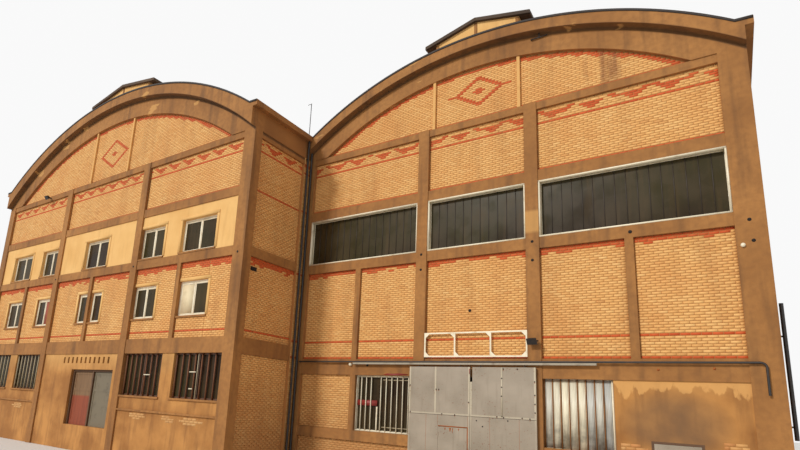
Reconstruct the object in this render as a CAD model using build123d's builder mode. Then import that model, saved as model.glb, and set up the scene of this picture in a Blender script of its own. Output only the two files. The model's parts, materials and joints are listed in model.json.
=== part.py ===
from build123d import *
from math import sqrt
import os

# Twin-hall factory building of the 1930s: two parallel halls under barrel roofs share one wall. Each gable has a
# concrete frame of columns, beams and an arched top beam, filled with pale brick, plaster and glazing.
# Millimetres, +Z up. The origin is on the ground, under the centre line of the wall the two halls share, in the
# front plane of the right hall. The left hall stands forward of that plane, and the ground under it is lower than
# its floor, so its walls run down to the same level.

os.makedirs("parts", exist_ok=True)

# Plan
wall = 400
right_width = 15090
left_width = 19490
left_forward = 3340
depth = 20000
right_side_bays = 4
left_side_bays = 5

# Relief of a wall, measured inwards from the face of its columns
beam_face = 30
plaster_face = 70
brick_face = 120
window_face = 190
frame_depth = 60
glass_face = 215
glass = 12

# Right hall: columns, storeys and arch
right_corner = 650
right_column = 400
right_column_at = 1885
mullion = 220
right_mullion_at = 4505
sill_beam = (1320, 1670)
door_beam = (3580, 4150)
middle_beam = (7500, 7850)
upper_beam = (9690, 10060)
top_beam = (12160, 12410)
arch_depth = 450
right_inner_crown = 14400
right_inner_half = 6300
right_beam_crown = 15060
right_outer_crown = 15500
right_eave = 13100

# Left hall: columns, storeys and arch
left_corner = 550
left_column = 420
left_column_at = 3200
left_mullion_at = 6200
plinth_top = 1810
ledge_height = 70
ledge_out = 60
left_ground_window = (2400, 4040)
left_band = (4040, 4610)
left_middle_beam = (7550, 7900)
left_upper_beam = (9850, 10200)
left_inner_crown = 15200
left_inner_half = 8500
left_beam_crown = 16000
left_outer_crown = 16500
left_eave = 13400
left_floor_top = 1020

# Roofs
shell = 220
edge_out = 250
eave_start = 200
eave_out = 200
eave_drop = 20
eave_thickness = 220
joint_gap = 10
rib = 100
rib_at = 1530
monitor_wall = 120
monitor_set_back = 150
monitor_overhang = 120
monitor_roof = 130
right_monitor_half = 1550
right_monitor_eave_half = 1950
right_monitor_eave = right_outer_crown + 450
right_monitor_ridge = right_monitor_eave + 480
left_monitor_half = 2150
left_monitor_eave_half = 2600
left_monitor_eave = left_outer_crown + 400
left_monitor_ridge = left_monitor_eave + 460
monitor_skirt = 600

# Floors
floor = 100
left_floor = 200
upper_floor = 300

# Windows of the left hall, from the hall's centre line; each one but the middle ones is repeated on both sides.
# A window narrower than one_light has no post.
window_frame = 60
one_light = 1200
light_post = 50
sill_out = 55
sill_height = 70
sill_overlap = 60
second_floor_window = (7980, 9320)
first_floor_window = (5450, 6800)
second_floor_middle = (-950, 950)
second_floor_sides = ((3410, 5000), (6100, 8100))
first_floor_middle = (150, 950)
first_floor_sides = ((3410, 4850), (6310, 7950))
ground_pier = (5850, 6550)
side_window_half = 950
side_ground_window_half = 1400

# Sliding doors of the right hall, from the hall's centre line
leaf_bottom = 50
leaf_top = 3880
leaf_left = -2135
leaf_meeting = -40
leaf_right = 1945
leaf_gap = 10
leaf_front = -110
leaf_thickness = 60
leaf_sheet = 10
leaf_member = 70
leaf_divider = -1195
leaf_joint = 2420
slot_width = 70
slot_height = 450
wicket = (-1085, -135)
wicket_bottom = 250
wicket_top = 2030
wicket_thickness = 40
door_gap = 6
strip_width = 55
strip_out = 6
grip_length = 260
grip_radius = 12
grip_out = 60
grip_height = 1250
grip_from_edge = 130
track = (-4435, 3565)
leaf_drop = 70
track_height = 60
track_width = 70
track_steel = 6
track_slot = 26
wheel_radius = 21
wheel_width = 46
hanger_radius = 8
hanger_plate = 12
hanger_inset = 330
rolling_gap = 0.3
track_brackets = 8
bracket_width = 60
pipe_above_track = 2
pipe_radius = 28
pipe_at = -70
pipe_drop = 760
pipe_bend = 120
pipe_clips = 7
pipe_clip_inset = 500

# Small door of the right hall and the door of the left hall, from each hall's centre line
small_door = (4795, 5805)
small_door_top = 2000
small_door_frame = 60
small_door_thickness = 45
leaf_clearance = 5
gable_door = (-400, 2610)
gable_door_top = 3280
gable_door_frame = 90
gable_door_thickness = 50
gable_door_at = 250
gable_frame_depth = 120
vent_zone = (3600, 3950)
vent_span = (-1400, 2450)
vent_slots = 11
vent_slot = 130

# Hinges: a fixed pin between two knuckles, and the door's own knuckle between them
knuckle_radius = 10
knuckle_length = 40
knuckle_web = 9
hinge_pin = 5
hinge_play = 0.3
small_door_hinges = (400, 1700)
wicket_hinges = (500, 1780)
gable_door_hinges = (1350, 2150, 2950)

# Strip window beside the sliding doors
strip_window_end = 3925

# Fittings
sign_frame = (4200, 5000)
sign_member = 45
sign_uprights = (-615, 565)
sign_gusset = 130
sign_gusset_steel = 8
lamp_width = 300
lamp_height = 200
lamp_depth = 130
lamp_taper = 0.2
lamp_tilt = 35
lamp_arm = 120
lamp_yoke = 10
lamp_above_door_beam = 500
lamp_along_gable = 4000
antenna_height = 1500
antenna_radius = 15
antenna_inset = 120
antenna_seat = 0.8
downpipe = (2300, 5500)
downpipe_radius = 45
downpipe_clip_above_foot = 300
downpipe_clip_below_head = 800
junction_pipe_foot = 300
inner_pipe = (-90, 12700)
outer_pipe_at = -320
cooler = (800, 320, 620)
cooler_bottom = 5780

right_outer = right_width - wall / 2
left_outer = wall / 2 - left_width
right_centre = right_outer - right_width / 2
left_centre = left_outer + left_width / 2
right_half = right_width / 2
left_half = left_width / 2
left_front_y = -left_forward
left_length = depth + left_forward
wall_top = top_beam[1]
track_bottom = leaf_top + leaf_drop
pipe_height = track_bottom + track_height + pipe_above_track + pipe_radius

# Each wall has its own frame: along the wall to the right as seen from outside, inwards, and up
right_front = Plane((right_centre, 0, 0), x_dir=(1, 0, 0), z_dir=(0, 0, 1))
right_rear = Plane((right_centre, depth, 0), x_dir=(-1, 0, 0), z_dir=(0, 0, 1))
right_side = Plane((right_outer, depth / 2, 0), x_dir=(0, 1, 0), z_dir=(0, 0, 1))
left_front = Plane((left_centre, left_front_y, 0), x_dir=(1, 0, 0), z_dir=(0, 0, 1))
left_rear = Plane((left_centre, depth, 0), x_dir=(-1, 0, 0), z_dir=(0, 0, 1))
left_side = Plane((left_outer, depth - left_length / 2, 0), x_dir=(0, -1, 0), z_dir=(0, 0, 1))
left_return = Plane((wall / 2, 0, 0), x_dir=(0, 1, 0), z_dir=(0, 0, 1))


def block(x, y, z, mode=Mode.ADD):
    """One rectangular solid between two values along each axis of the frame in use."""
    with Locations(((x[0] + x[1]) / 2, (y[0] + y[1]) / 2, (z[0] + z[1]) / 2)):
        Box(x[1] - x[0], y[1] - y[0], z[1] - z[0], mode=mode)


def solid_block(face, x, y, z):
    """One rectangular solid in a wall's frame: its spans along the wall, inwards and up."""
    corner = face.from_local_coords((x[0], y[0], z[0]))
    return Solid.make_box(x[1] - x[0], y[1] - y[0], z[1] - z[0], Plane(corner, face.x_dir, face.z_dir))


def elevation(face, inward=0):
    """The drawing plane of a wall: its X is along the wall and its Y is up."""
    return Plane(face.origin + face.y_dir * inward, x_dir=face.x_dir, z_dir=-face.y_dir)


def arc_radius(crown, half, end):
    """The radius of the arc that rises from height end at half the span to the crown."""
    rise = crown - end
    return (half**2 + rise**2) / (2 * rise)


def arc_height(crown, radius, across):
    """The height of an arc at a distance from the centre line."""
    return crown - radius + sqrt(radius**2 - across**2)


right_inner_r = arc_radius(right_inner_crown, right_inner_half, wall_top)
right_beam_r = arc_radius(right_beam_crown, right_half, wall_top + 10)
right_outer_r = arc_radius(right_outer_crown, right_half - eave_start, right_eave)
left_inner_r = arc_radius(left_inner_crown, left_inner_half, wall_top)
left_beam_r = arc_radius(left_beam_crown, left_half, wall_top + 10)
left_outer_r = arc_radius(left_outer_crown, left_half - eave_start, left_eave)

# Bays between columns, along each wall
right_shared_edge = wall / 2 - right_centre
right_bays = (
    (-right_half + right_corner, -right_column_at - right_column / 2),
    (-right_column_at + right_column / 2, right_column_at - right_column / 2),
    (right_column_at + right_column / 2, right_half - right_corner),
)
left_bays = (
    (-left_half + left_corner, -left_column_at - left_column / 2),
    (-left_column_at + left_column / 2, left_column_at - left_column / 2),
    (left_column_at + left_column / 2, left_half - left_corner),
)


def side_bays(length, count, corner, column):
    """Equal bays along a side wall, with a column between each two and a corner column at each end."""
    pitch = length / count
    bays = []
    for i in range(count):
        start = -length / 2 + i * pitch + (corner if i == 0 else column / 2)
        end = -length / 2 + (i + 1) * pitch - (corner if i == count - 1 else column / 2)
        bays.append((start, end))
    return bays


right_side_walls = side_bays(depth, right_side_bays, wall, right_column)
left_side_walls = side_bays(left_length, left_side_bays, wall, left_column)
return_bay = (-left_forward + wall, -wall)


def between(bay, posts, width):
    """The spans of a bay left beside posts of one width."""
    edges = [bay[0]]
    for post in sorted(posts):
        edges += [post - width / 2, post + width / 2]
    edges.append(bay[1])
    return [(edges[i], edges[i + 1]) for i in range(0, len(edges), 2)]


def around(bay, openings):
    """The spans of a bay left beside its openings."""
    spans = []
    start = bay[0]
    for opening in sorted(openings):
        if opening[0] > start + 1:
            spans.append((start, opening[0]))
        start = opening[1]
    if bay[1] > start + 1:
        spans.append((start, bay[1]))
    return spans


# Doorways
small_doorway = (small_door[0] - small_door_frame, small_door[1] + small_door_frame)
small_head = small_door_top + small_door_frame
gable_doorway = (gable_door[0] - gable_door_frame, gable_door[1] + gable_door_frame)
gable_sill = left_floor_top

# Right hall: columns and mullions
right_uprights = []
for face in (right_front, right_rear):
    ends = [(right_shared_edge, -right_half + right_corner), (right_half - right_corner, right_half)]
    if face is right_rear:
        ends = [(-b, -a) for a, b in ends]
    ends += [(at - right_column / 2, at + right_column / 2) for at in (-right_column_at, right_column_at)]
    right_uprights += [(face, span, (0, wall), (0, wall_top)) for span in ends]
    for at in (-right_mullion_at, right_mullion_at):
        span = (at - mullion / 2, at + mullion / 2)
        right_uprights.append((face, span, (beam_face, wall), (door_beam[1], middle_beam[0])))
mullion_span = (-right_mullion_at - mullion / 2, -right_mullion_at + mullion / 2)
right_uprights.append((right_front, mullion_span, (beam_face, wall), (sill_beam[1], door_beam[0])))
for bay in right_side_walls[1:]:
    right_uprights.append((right_side, (bay[0] - right_column, bay[0]), (0, wall), (0, wall_top)))
with BuildPart() as right_columns:
    add([solid_block(*item) for item in right_uprights])

# Right hall: beams between the columns, one row for each level
right_walls = ((right_front, right_bays), (right_rear, right_bays), (right_side, right_side_walls))
right_rows = []
for face, bays in right_walls:
    for bay in bays:
        right_rows += [(face, bay, (beam_face, wall), z) for z in (door_beam, middle_beam, upper_beam, top_beam)]
        if face is right_front and bay is right_bays[1]:
            continue
        cuts = [small_doorway] if face is right_front and bay is right_bays[2] else []
        right_rows += [(face, span, (beam_face, wall), sill_beam) for span in around(bay, cuts)]
with BuildPart() as right_beams:
    add([solid_block(*item) for item in right_rows])

# Windows of the ground storey away from the street: one in the middle of each bay
storey_window = 2200
right_ground_windows = []
for face, bays in right_walls[1:]:
    for bay in bays:
        middle = (bay[0] + bay[1]) / 2
        right_ground_windows.append((face, bay, (middle - storey_window / 2, middle + storey_window / 2)))

# Right hall: brick between the beams
right_panels = []
for face, bays in right_walls:
    mullions = [] if face is right_side else [-right_mullion_at, right_mullion_at]
    for bay in bays:
        right_panels.append((face, bay, (upper_beam[1], top_beam[0])))
        posts = [at for at in mullions if bay[0] < at < bay[1]]
        right_panels += [(face, span, (door_beam[1], middle_beam[0])) for span in between(bay, posts, mullion)]
        if face is right_front and bay is right_bays[1]:
            continue
        cuts = [small_doorway] if face is right_front and bay is right_bays[2] else []
        right_panels += [(face, span, (0, sill_beam[0])) for span in around(bay, cuts)]
right_panels.append((right_front, (right_bays[0][0], mullion_span[0]), (sill_beam[1], door_beam[0])))
for face, bay, window in right_ground_windows:
    right_panels += [(face, span, (sill_beam[1], door_beam[0])) for span in around(bay, [window])]
with BuildPart() as right_brick:
    add([solid_block(face, span, (brick_face, wall), zone) for face, span, zone in right_panels])

# Right hall: the plastered wall round the small door
plaster_bay = (strip_window_end, right_bays[2][1])
with BuildPart() as right_plaster:
    with Locations(right_front):
        for span in around(plaster_bay, [small_doorway]):
            block(span, (plaster_face, wall), (sill_beam[1], door_beam[0]))


def lunette(face, crown, radius):
    """The brick filling of a gable's arch, in three parts beside the ribs."""
    with BuildPart() as filling:
        with BuildSketch(elevation(face, brick_face)):
            with Locations((0, crown - radius)):
                Circle(radius)
            with Locations((0, wall_top)):
                Rectangle(2 * radius, radius, align=(Align.CENTER, Align.MIN), mode=Mode.INTERSECT)
            with Locations((-rib_at, wall_top), (rib_at, wall_top)):
                Rectangle(rib, radius, align=(Align.CENTER, Align.MIN), mode=Mode.SUBTRACT)
        extrude(amount=brick_face - wall)
    return filling.part


def lunette_ribs(face, crown, radius):
    """The two upright ribs of a gable's arch."""
    with BuildPart() as ribs:
        with BuildSketch(elevation(face, beam_face)):
            with Locations((0, crown - radius)):
                Circle(radius)
            with Locations((-rib_at, wall_top), (rib_at, wall_top)):
                Rectangle(rib, radius, align=(Align.CENTER, Align.MIN), mode=Mode.INTERSECT)
        extrude(amount=beam_face - wall)
    return ribs.part


def arch_beam(face, inner_crown, inner_r, beam_crown, beam_r, left, right):
    """The arched top beam of a gable, from one corner column to the other."""
    with BuildPart() as beam:
        with BuildSketch(elevation(face)):
            with Locations((0, beam_crown - beam_r)):
                Circle(beam_r)
            with Locations(((left + right) / 2, wall_top)):
                Rectangle(right - left, beam_r, align=(Align.CENTER, Align.MIN), mode=Mode.INTERSECT)
            with Locations((0, inner_crown - inner_r)):
                Circle(inner_r, mode=Mode.SUBTRACT)
        extrude(amount=-arch_depth)
    return beam.part


def eave_points(side, end, has_tip, crown, radius, half, eave):
    """The upper side of a roof's end, from the arc outwards: with a tip, it turns out into a flat eave."""
    if not has_tip:
        return [(side * end, arc_height(crown, radius, end))]
    tip = side * (half + eave_out)
    reach = half - eave_start
    tip_top = eave - eave_drop
    points = [(side * reach, arc_height(crown, radius, reach)), (tip, tip_top)]
    return points + [(tip, tip_top - eave_thickness), (side * half, tip_top - eave_thickness)]


def roof_section(face, crown, radius, half, eave, left, right, tips=(True, True)):
    """The section of a barrel roof, seated on the walls at both ends. An end without a tip is cut upright."""
    inner_crown = crown - shell
    inner_r = radius - shell
    seat = half - wall
    with BuildSketch(elevation(face)) as section:
        with BuildLine():
            points = []
            for side, end, has_tip in ((-1, -left, tips[0]), (1, right, tips[1])):
                ends = eave_points(side, end, has_tip, crown, radius, half, eave)
                ends += [(side * end, wall_top), (side * seat, wall_top)]
                ends += [(side * seat, arc_height(inner_crown, inner_r, seat))]
                points.append(ends)
            Polyline(*points[0])
            Polyline(*points[1])
            ThreePointArc(points[0][0], (0, crown), points[1][0])
            ThreePointArc(points[0][-1], (0, inner_crown), points[1][-1])
        make_face()
    return section.sketch


def roof_edge(face, crown, radius, half, eave, beam_crown, beam_r, left, right, tips=(True, True)):
    """The thick edge of the roof over a gable: it sits on the arched beam and stands out in front of it."""
    with BuildPart() as edge:
        with BuildSketch(elevation(face, -edge_out)):
            with BuildLine():
                points = []
                for side, end, has_tip in ((-1, -left, tips[0]), (1, right, tips[1])):
                    ends = eave_points(side, end, has_tip, crown, radius, half, eave)
                    points.append(ends + [(side * end, arc_height(beam_crown, beam_r, end))])
                Polyline(*points[0])
                Polyline(*points[1])
                ThreePointArc(points[0][0], (0, crown), points[1][0])
                ThreePointArc(points[0][-1], (0, beam_crown), points[1][-1])
            make_face()
        extrude(amount=-edge_out - arch_depth)
    return edge.part


# Gables above the wall top
gables = (
    (right_front, right_inner_crown, right_inner_r),
    (right_rear, right_inner_crown, right_inner_r),
    (left_front, left_inner_crown, left_inner_r),
    (left_rear, left_inner_crown, left_inner_r),
)
with BuildPart() as lunettes:
    add([lunette(*form) for form in gables])

with BuildPart() as ribs_of_lunettes:
    add([lunette_ribs(*form) for form in gables])

right_arch = (right_inner_crown, right_inner_r, right_beam_crown, right_beam_r)
with BuildPart() as right_arches:
    add(arch_beam(right_front, *right_arch, right_shared_edge, right_half))
    add(arch_beam(right_rear, *right_arch, -right_half, -right_shared_edge))

right_roof_form = (right_outer_crown, right_outer_r, right_half, right_eave)
right_edge_form = right_roof_form + (right_beam_crown, right_beam_r)
with BuildPart() as right_roof_edges:
    add(roof_edge(right_front, *right_edge_form, right_shared_edge, right_half, (False, True)))
    add(roof_edge(right_rear, *right_edge_form, -right_half, -right_shared_edge, (True, False)))

right_section = roof_section(right_front, *right_roof_form, -right_centre, right_half, (False, True))
with BuildPart() as right_roof:
    extrude(right_section.moved(Location((0, arch_depth, 0))), amount=-(depth - 2 * arch_depth))

# Left hall: columns and mullions
left_mullions = (-left_mullion_at, 0, left_mullion_at)
left_uprights = []
for face in (left_front, left_rear):
    ends = [(-left_half, -left_half + left_corner), (left_half - left_corner, left_half)]
    ends += [(at - left_column / 2, at + left_column / 2) for at in (-left_column_at, left_column_at)]
    left_uprights += [(face, span, (0, wall), (0, wall_top)) for span in ends]
    for at in left_mullions:
        span = (at - mullion / 2, at + mullion / 2)
        left_uprights.append((face, span, (beam_face, wall), (left_band[1], left_middle_beam[0])))
for bay in left_side_walls[1:]:
    left_uprights.append((left_side, (bay[0] - left_column, bay[0]), (0, wall), (0, wall_top)))
with BuildPart() as left_columns:
    add([solid_block(*item) for item in left_uprights])

left_walls = ((left_front, left_bays), (left_rear, left_bays), (left_side, left_side_walls))
door_bay = left_bays[1]
ledge = (plinth_top, plinth_top + ledge_height)
left_rows = []
for face, bays in left_walls:
    for bay in bays:
        left_rows += [
            (face, bay, (beam_face, wall), level)
            for level in (left_band, left_middle_beam, left_upper_beam, top_beam)
        ]
        if face is not left_front or bay is not door_bay:
            left_rows.append((face, bay, (plaster_face - ledge_out, wall), ledge))
left_rows += [
    (left_return, return_bay, (beam_face, wall), level) for level in (left_band, left_middle_beam, top_beam)
]
with BuildPart() as left_beams:
    add([solid_block(*item) for item in left_rows])


def storey_windows(face, bay, storey):
    """The windows of one bay of the left hall in one storey, as spans along the wall."""
    middle = (bay[0] + bay[1]) / 2
    if face is left_side:
        half = side_ground_window_half if storey == "ground" else side_window_half
        return [(middle - half, middle + half)]
    if storey == "ground":
        if abs(middle) < 1:
            return []
        ends = [(left_bays[2][0], ground_pier[0]), (ground_pier[1], left_bays[2][1])]
    elif storey == "first":
        if abs(middle) < 1:
            return [(-first_floor_middle[1], -first_floor_middle[0]), first_floor_middle]
        ends = first_floor_sides
    else:
        if abs(middle) < 1:
            return [second_floor_middle]
        ends = second_floor_sides
    if middle > 0:
        return sorted(ends)
    return sorted((-b, -a) for a, b in ends)


left_windows = []
left_piers = []
left_spandrels = []
left_sills = []
storeys = (
    ("ground", plaster_face, (plinth_top + ledge_height, left_band[0]), left_ground_window),
    ("first", brick_face, (left_band[1], left_middle_beam[0]), first_floor_window),
    ("second", plaster_face, (left_middle_beam[1], left_upper_beam[0]), second_floor_window),
)
for face, bays in left_walls:
    for bay in bays:
        for storey, face_at, zone, opening in storeys:
            if storey == "ground" and face is left_front and bay is door_bay:
                continue
            windows = storey_windows(face, bay, storey)
            posts = []
            if storey == "first" and face in (left_front, left_rear):
                posts = [at for at in left_mullions if bay[0] < at < bay[1]]
            for part_bay in between(bay, posts, mullion):
                held = [w for w in windows if part_bay[0] - 1 <= w[0] and w[1] <= part_bay[1] + 50]
                held = [(max(w[0], part_bay[0]), min(w[1], part_bay[1])) for w in held]
                for span in around(part_bay, held):
                    left_piers.append((face, span, face_at, zone))
                for window in held:
                    left_windows.append((face, window, opening))
                    sill = (max(window[0] - sill_overlap, part_bay[0]), min(window[1] + sill_overlap, part_bay[1]))
                    left_sills.append((face, sill, (face_at - sill_out, face_at), (opening[0] - sill_height, opening[0])))
                    left_spandrels.append((face, window, face_at, (zone[0], opening[0])))
                    if zone[1] > opening[1] + 1:
                        left_spandrels.append((face, window, face_at, (opening[1], zone[1])))


# Plaster on the second floor and the ground floor, brick between them and above them
jamb_top = gable_door_top + gable_door_frame
left_upper_zone = (left_upper_beam[1], top_beam[0])
left_piers += [(face, bay, brick_face, left_upper_zone) for face, bays in left_walls for bay in bays]
jambs = [(left_front, span, plaster_face, (gable_sill, jamb_top)) for span in around(door_bay, [gable_doorway])]
left_piers += jambs

# The short wall that turns back to the right hall is brick from the ground up, between its own beams
return_zones = ((0, left_band[0]), (left_band[1], left_middle_beam[0]), (left_middle_beam[1], top_beam[0]))
left_piers += [(left_return, return_bay, brick_face, zone) for zone in return_zones]

with BuildPart() as left_brick_piers:
    add([solid_block(f, x, (y, wall), z) for f, x, y, z in left_piers if y == brick_face])

with BuildPart() as left_brick_spandrels:
    add([solid_block(f, x, (y, wall), z) for f, x, y, z in left_spandrels if y == brick_face])

with BuildPart() as left_plaster_piers:
    add([solid_block(f, x, (y, wall), z) for f, x, y, z in left_piers if y == plaster_face])

with BuildPart() as left_plaster_spandrels:
    add([solid_block(f, x, (y, wall), z) for f, x, y, z in left_spandrels if y == plaster_face])

with BuildPart() as window_sills:
    add([solid_block(*sill) for sill in left_sills])

# Left hall: plinth down to the lowest ground; under the gable door it ends at the sill
with BuildPart() as left_plinth:
    plinths = []
    for face, bays in left_walls:
        for bay in bays:
            top = gable_sill if face is left_front and bay is door_bay else plinth_top
            plinths.append(solid_block(face, bay, (plaster_face, wall), (0, top)))
    add(plinths)

# The wall over both halls' hinged doors; in the left hall a row of vent slots lies in it
head_items = (
    (right_front, small_doorway, (small_head, door_beam[0])),
    (left_front, door_bay, (jamb_top, vent_zone[0])),
    (left_front, door_bay, (vent_zone[1], left_band[0])),
)
with BuildPart() as door_heads:
    add([solid_block(face, span, (plaster_face, wall), zone) for face, span, zone in head_items])

with BuildPart() as vent_row:
    with Locations(left_front):
        block(door_bay, (plaster_face, wall), vent_zone)
        pitch = (vent_span[1] - vent_span[0]) / vent_slots
        for i in range(vent_slots):
            at = vent_span[0] + (i + 0.5) * pitch
            slot = (at - vent_slot / 2, at + vent_slot / 2)
            block(slot, (0, wall + 1), (vent_zone[0] + 40, vent_zone[1] - 40), mode=Mode.SUBTRACT)

# The wall that both halls share, from a pier in front of the right hall's plane
with BuildPart() as shared_wall:
    block((-wall / 2, wall / 2), (-wall, depth - wall), (0, wall_top))

left_arch = (left_inner_crown, left_inner_r, left_beam_crown, left_beam_r)
with BuildPart() as left_arches:
    add(arch_beam(left_front, *left_arch, -left_half, left_half))
    add(arch_beam(left_rear, *left_arch, -left_half, left_half))

left_roof_form = (left_outer_crown, left_outer_r, left_half, left_eave)
left_edge_form = left_roof_form + (left_beam_crown, left_beam_r)
with BuildPart() as left_roof_edges:
    add(roof_edge(left_front, *left_edge_form, -left_half, left_half))
    add(roof_edge(left_rear, *left_edge_form, -left_half, left_half, (False, True)))

# Left roof, from the front: with both eaves, then cut flush beside the right hall's gable, then half on the shared wall
eave_end = -edge_out - joint_gap
left_stretches = (
    (left_front_y + arch_depth, eave_end, left_half, (True, True)),
    (eave_end, arch_depth, left_half, (True, False)),
    (arch_depth, depth - arch_depth, -left_centre, (True, False)),
)
with BuildPart() as left_roof:
    for start, end, reach, tips in left_stretches:
        section = roof_section(left_front, *left_roof_form, -left_half, reach, tips)
        extrude(section.moved(Location((0, start - left_front_y, 0))), amount=start - end)


def monitor_walls_of(face, half, eave_half, eave, ridge, crown, radius, length):
    """The upstand walls of a roof monitor: a gable at each end and a low wall along each side."""
    slope = (ridge - eave) / eave_half
    with BuildPart() as walls:
        with BuildSketch(elevation(face, monitor_set_back)) as gable:
            with BuildLine():
                top = ridge - monitor_roof
                side_top = top - slope * half
                foot = crown - monitor_skirt
                Polyline((-half, foot), (-half, side_top), (0, top), (half, side_top), (half, foot), close=True)
            make_face()
            with Locations((0, crown - radius)):
                Circle(radius, mode=Mode.SUBTRACT)
        extrude(amount=-(length - 2 * monitor_set_back))
        inner = half - monitor_wall
        with Locations(face):
            block(
                (-inner, inner),
                (monitor_set_back + monitor_wall, length - monitor_set_back - monitor_wall),
                (crown - 2 * monitor_skirt, ridge),
                mode=Mode.SUBTRACT,
            )
    return walls.part


def monitor_roof_of(face, eave_half, eave, ridge, length):
    """The low two-pitch roof of a monitor."""
    with BuildPart() as cover:
        with BuildSketch(elevation(face, monitor_set_back - monitor_overhang)):
            with BuildLine():
                Polyline(
                    (-eave_half, eave - monitor_roof),
                    (-eave_half, eave),
                    (0, ridge),
                    (eave_half, eave),
                    (eave_half, eave - monitor_roof),
                    (0, ridge - monitor_roof),
                    close=True,
                )
            make_face()
        extrude(amount=-(length - 2 * monitor_set_back + 2 * monitor_overhang))
    return cover.part


right_monitor_form = (right_monitor_eave_half, right_monitor_eave, right_monitor_ridge)
left_monitor_form = (left_monitor_eave_half, left_monitor_eave, left_monitor_ridge)
right_monitor_seat = (right_outer_crown, right_outer_r, depth)
left_monitor_seat = (left_outer_crown, left_outer_r, left_length)
with BuildPart() as monitor_walls:
    add(monitor_walls_of(right_front, right_monitor_half, *right_monitor_form, *right_monitor_seat))
    add(monitor_walls_of(left_front, left_monitor_half, *left_monitor_form, *left_monitor_seat))

with BuildPart() as monitor_roofs:
    add(monitor_roof_of(right_front, *right_monitor_form, depth))
    add(monitor_roof_of(left_front, *left_monitor_form, left_length))

# Floors
with BuildPart() as ground_floors:
    block((wall / 2, right_outer - wall), (wall, depth - wall), (0, floor))
    block((left_outer + wall, -wall / 2), (left_front_y + wall, depth - wall), (left_floor_top - left_floor, left_floor_top))

with BuildPart() as left_upper_floors:
    for top in (left_band[1], left_middle_beam[1]):
        block((left_outer + wall, -wall / 2), (left_front_y + wall, depth - wall), (top - upper_floor, top))

# Windows of the right hall: the ribbon under the upper beam, and the ground storey
right_windows = [(face, bay, (middle_beam[1], upper_beam[0])) for face, bays in right_walls for bay in bays]
right_windows += [(face, window, (sill_beam[1], door_beam[0])) for face, bay, window in right_ground_windows]
barred_window = (-right_mullion_at + mullion / 2, right_bays[0][1])
strip_window = (right_bays[2][0], strip_window_end)
right_windows += [(right_front, barred_window, (sill_beam[1], door_beam[0]))]
right_windows += [(right_front, strip_window, (sill_beam[1], door_beam[0]))]


def window_ring(face, span, height, has_post):
    """A window frame that fills its opening, with or without a post in front of the middle of the glass."""
    front = (window_face, window_face + frame_depth)
    inside = (span[0] + window_frame, span[1] - window_frame)
    light = (height[0] + window_frame, height[1] - window_frame)
    middle = (span[0] + span[1]) / 2
    with BuildPart() as ring:
        with Locations(face):
            block(span, front, height)
            block(inside, (front[0] - 1, front[1] + 1), light, mode=Mode.SUBTRACT)
            if has_post:
                block((middle - light_post / 2, middle + light_post / 2), (window_face, glass_face), height)
    return ring.part


def pane(face, span, height):
    """The glass of a window frame."""
    inside = (span[0] + window_frame, span[1] - window_frame)
    light = (height[0] + window_frame, height[1] - window_frame)
    return solid_block(face, inside, (glass_face, glass_face + glass), light)


with BuildPart() as window_frames:
    add([window_ring(*window, False) for window in right_windows])
    add([window_ring(*window, window[1][1] - window[1][0] > one_light) for window in left_windows])

with BuildPart() as window_glass:
    add([pane(*window) for window in right_windows + left_windows])

# Sliding doors: two leaves hang from wheels inside a slotted track
track_centre = leaf_front + leaf_thickness / 2
with BuildPart() as door_track:
    with Locations(right_front):
        block(track, (track_centre - track_width / 2, track_centre + track_width / 2), (track_bottom, track_bottom + track_height))
        hollow = (track_centre - track_width / 2 + track_steel, track_centre + track_width / 2 - track_steel)
        inside = (track_bottom + track_steel, track_bottom + track_height - track_steel)
        run = (track[0] + track_steel, track[1] - track_steel)
        block(run, hollow, inside, mode=Mode.SUBTRACT)
        slot = (track_centre - track_slot / 2, track_centre + track_slot / 2)
        block(run, slot, (track_bottom - 1, track_bottom + track_steel + 1), mode=Mode.SUBTRACT)
        for i in range(track_brackets):
            at = track[0] + (i + 0.5) * (track[1] - track[0]) / track_brackets
            back = 0 if abs(abs(at) - right_column_at) < right_column / 2 else beam_face
            span = (at - bracket_width / 2, at + bracket_width / 2)
            block(span, (track_centre + track_width / 2, back), (track_bottom, track_bottom + track_height))

wicket_opening = (wicket[0] - door_gap, wicket[1] + door_gap)


def hinge(face, at, seat, side, holder, heights, moving, back=0):
    """The knuckles of one side of a hinge, and for the fixed side its pins. They stand on the seat face, out from it
    on one side, and their holder lies to one side of the pin along the wall, set back from the seat face if need be."""
    pin_at = seat + side * knuckle_radius
    half = knuckle_length / 2
    with Locations(face):
        for height in heights:
            ends = [(height - half, height + half)]
            if not moving:
                ends = [(height - 3 * half, height - half - hinge_play), (height + half + hinge_play, height + 3 * half)]
            for low, high in ends:
                with Locations((at, pin_at, (low + high) / 2)):
                    Cylinder(knuckle_radius, high - low)
                web = sorted((at + holder * (hinge_pin + 1), at + holder * (hinge_pin + 1 + knuckle_web)))
                block(web, sorted((pin_at, seat - side * (back + 2))), (low, high))
            with Locations((at, pin_at, height)):
                if moving:
                    Cylinder(hinge_pin + hinge_play, knuckle_length, mode=Mode.SUBTRACT)
                else:
                    Cylinder(hinge_pin, 3 * knuckle_length)


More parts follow.
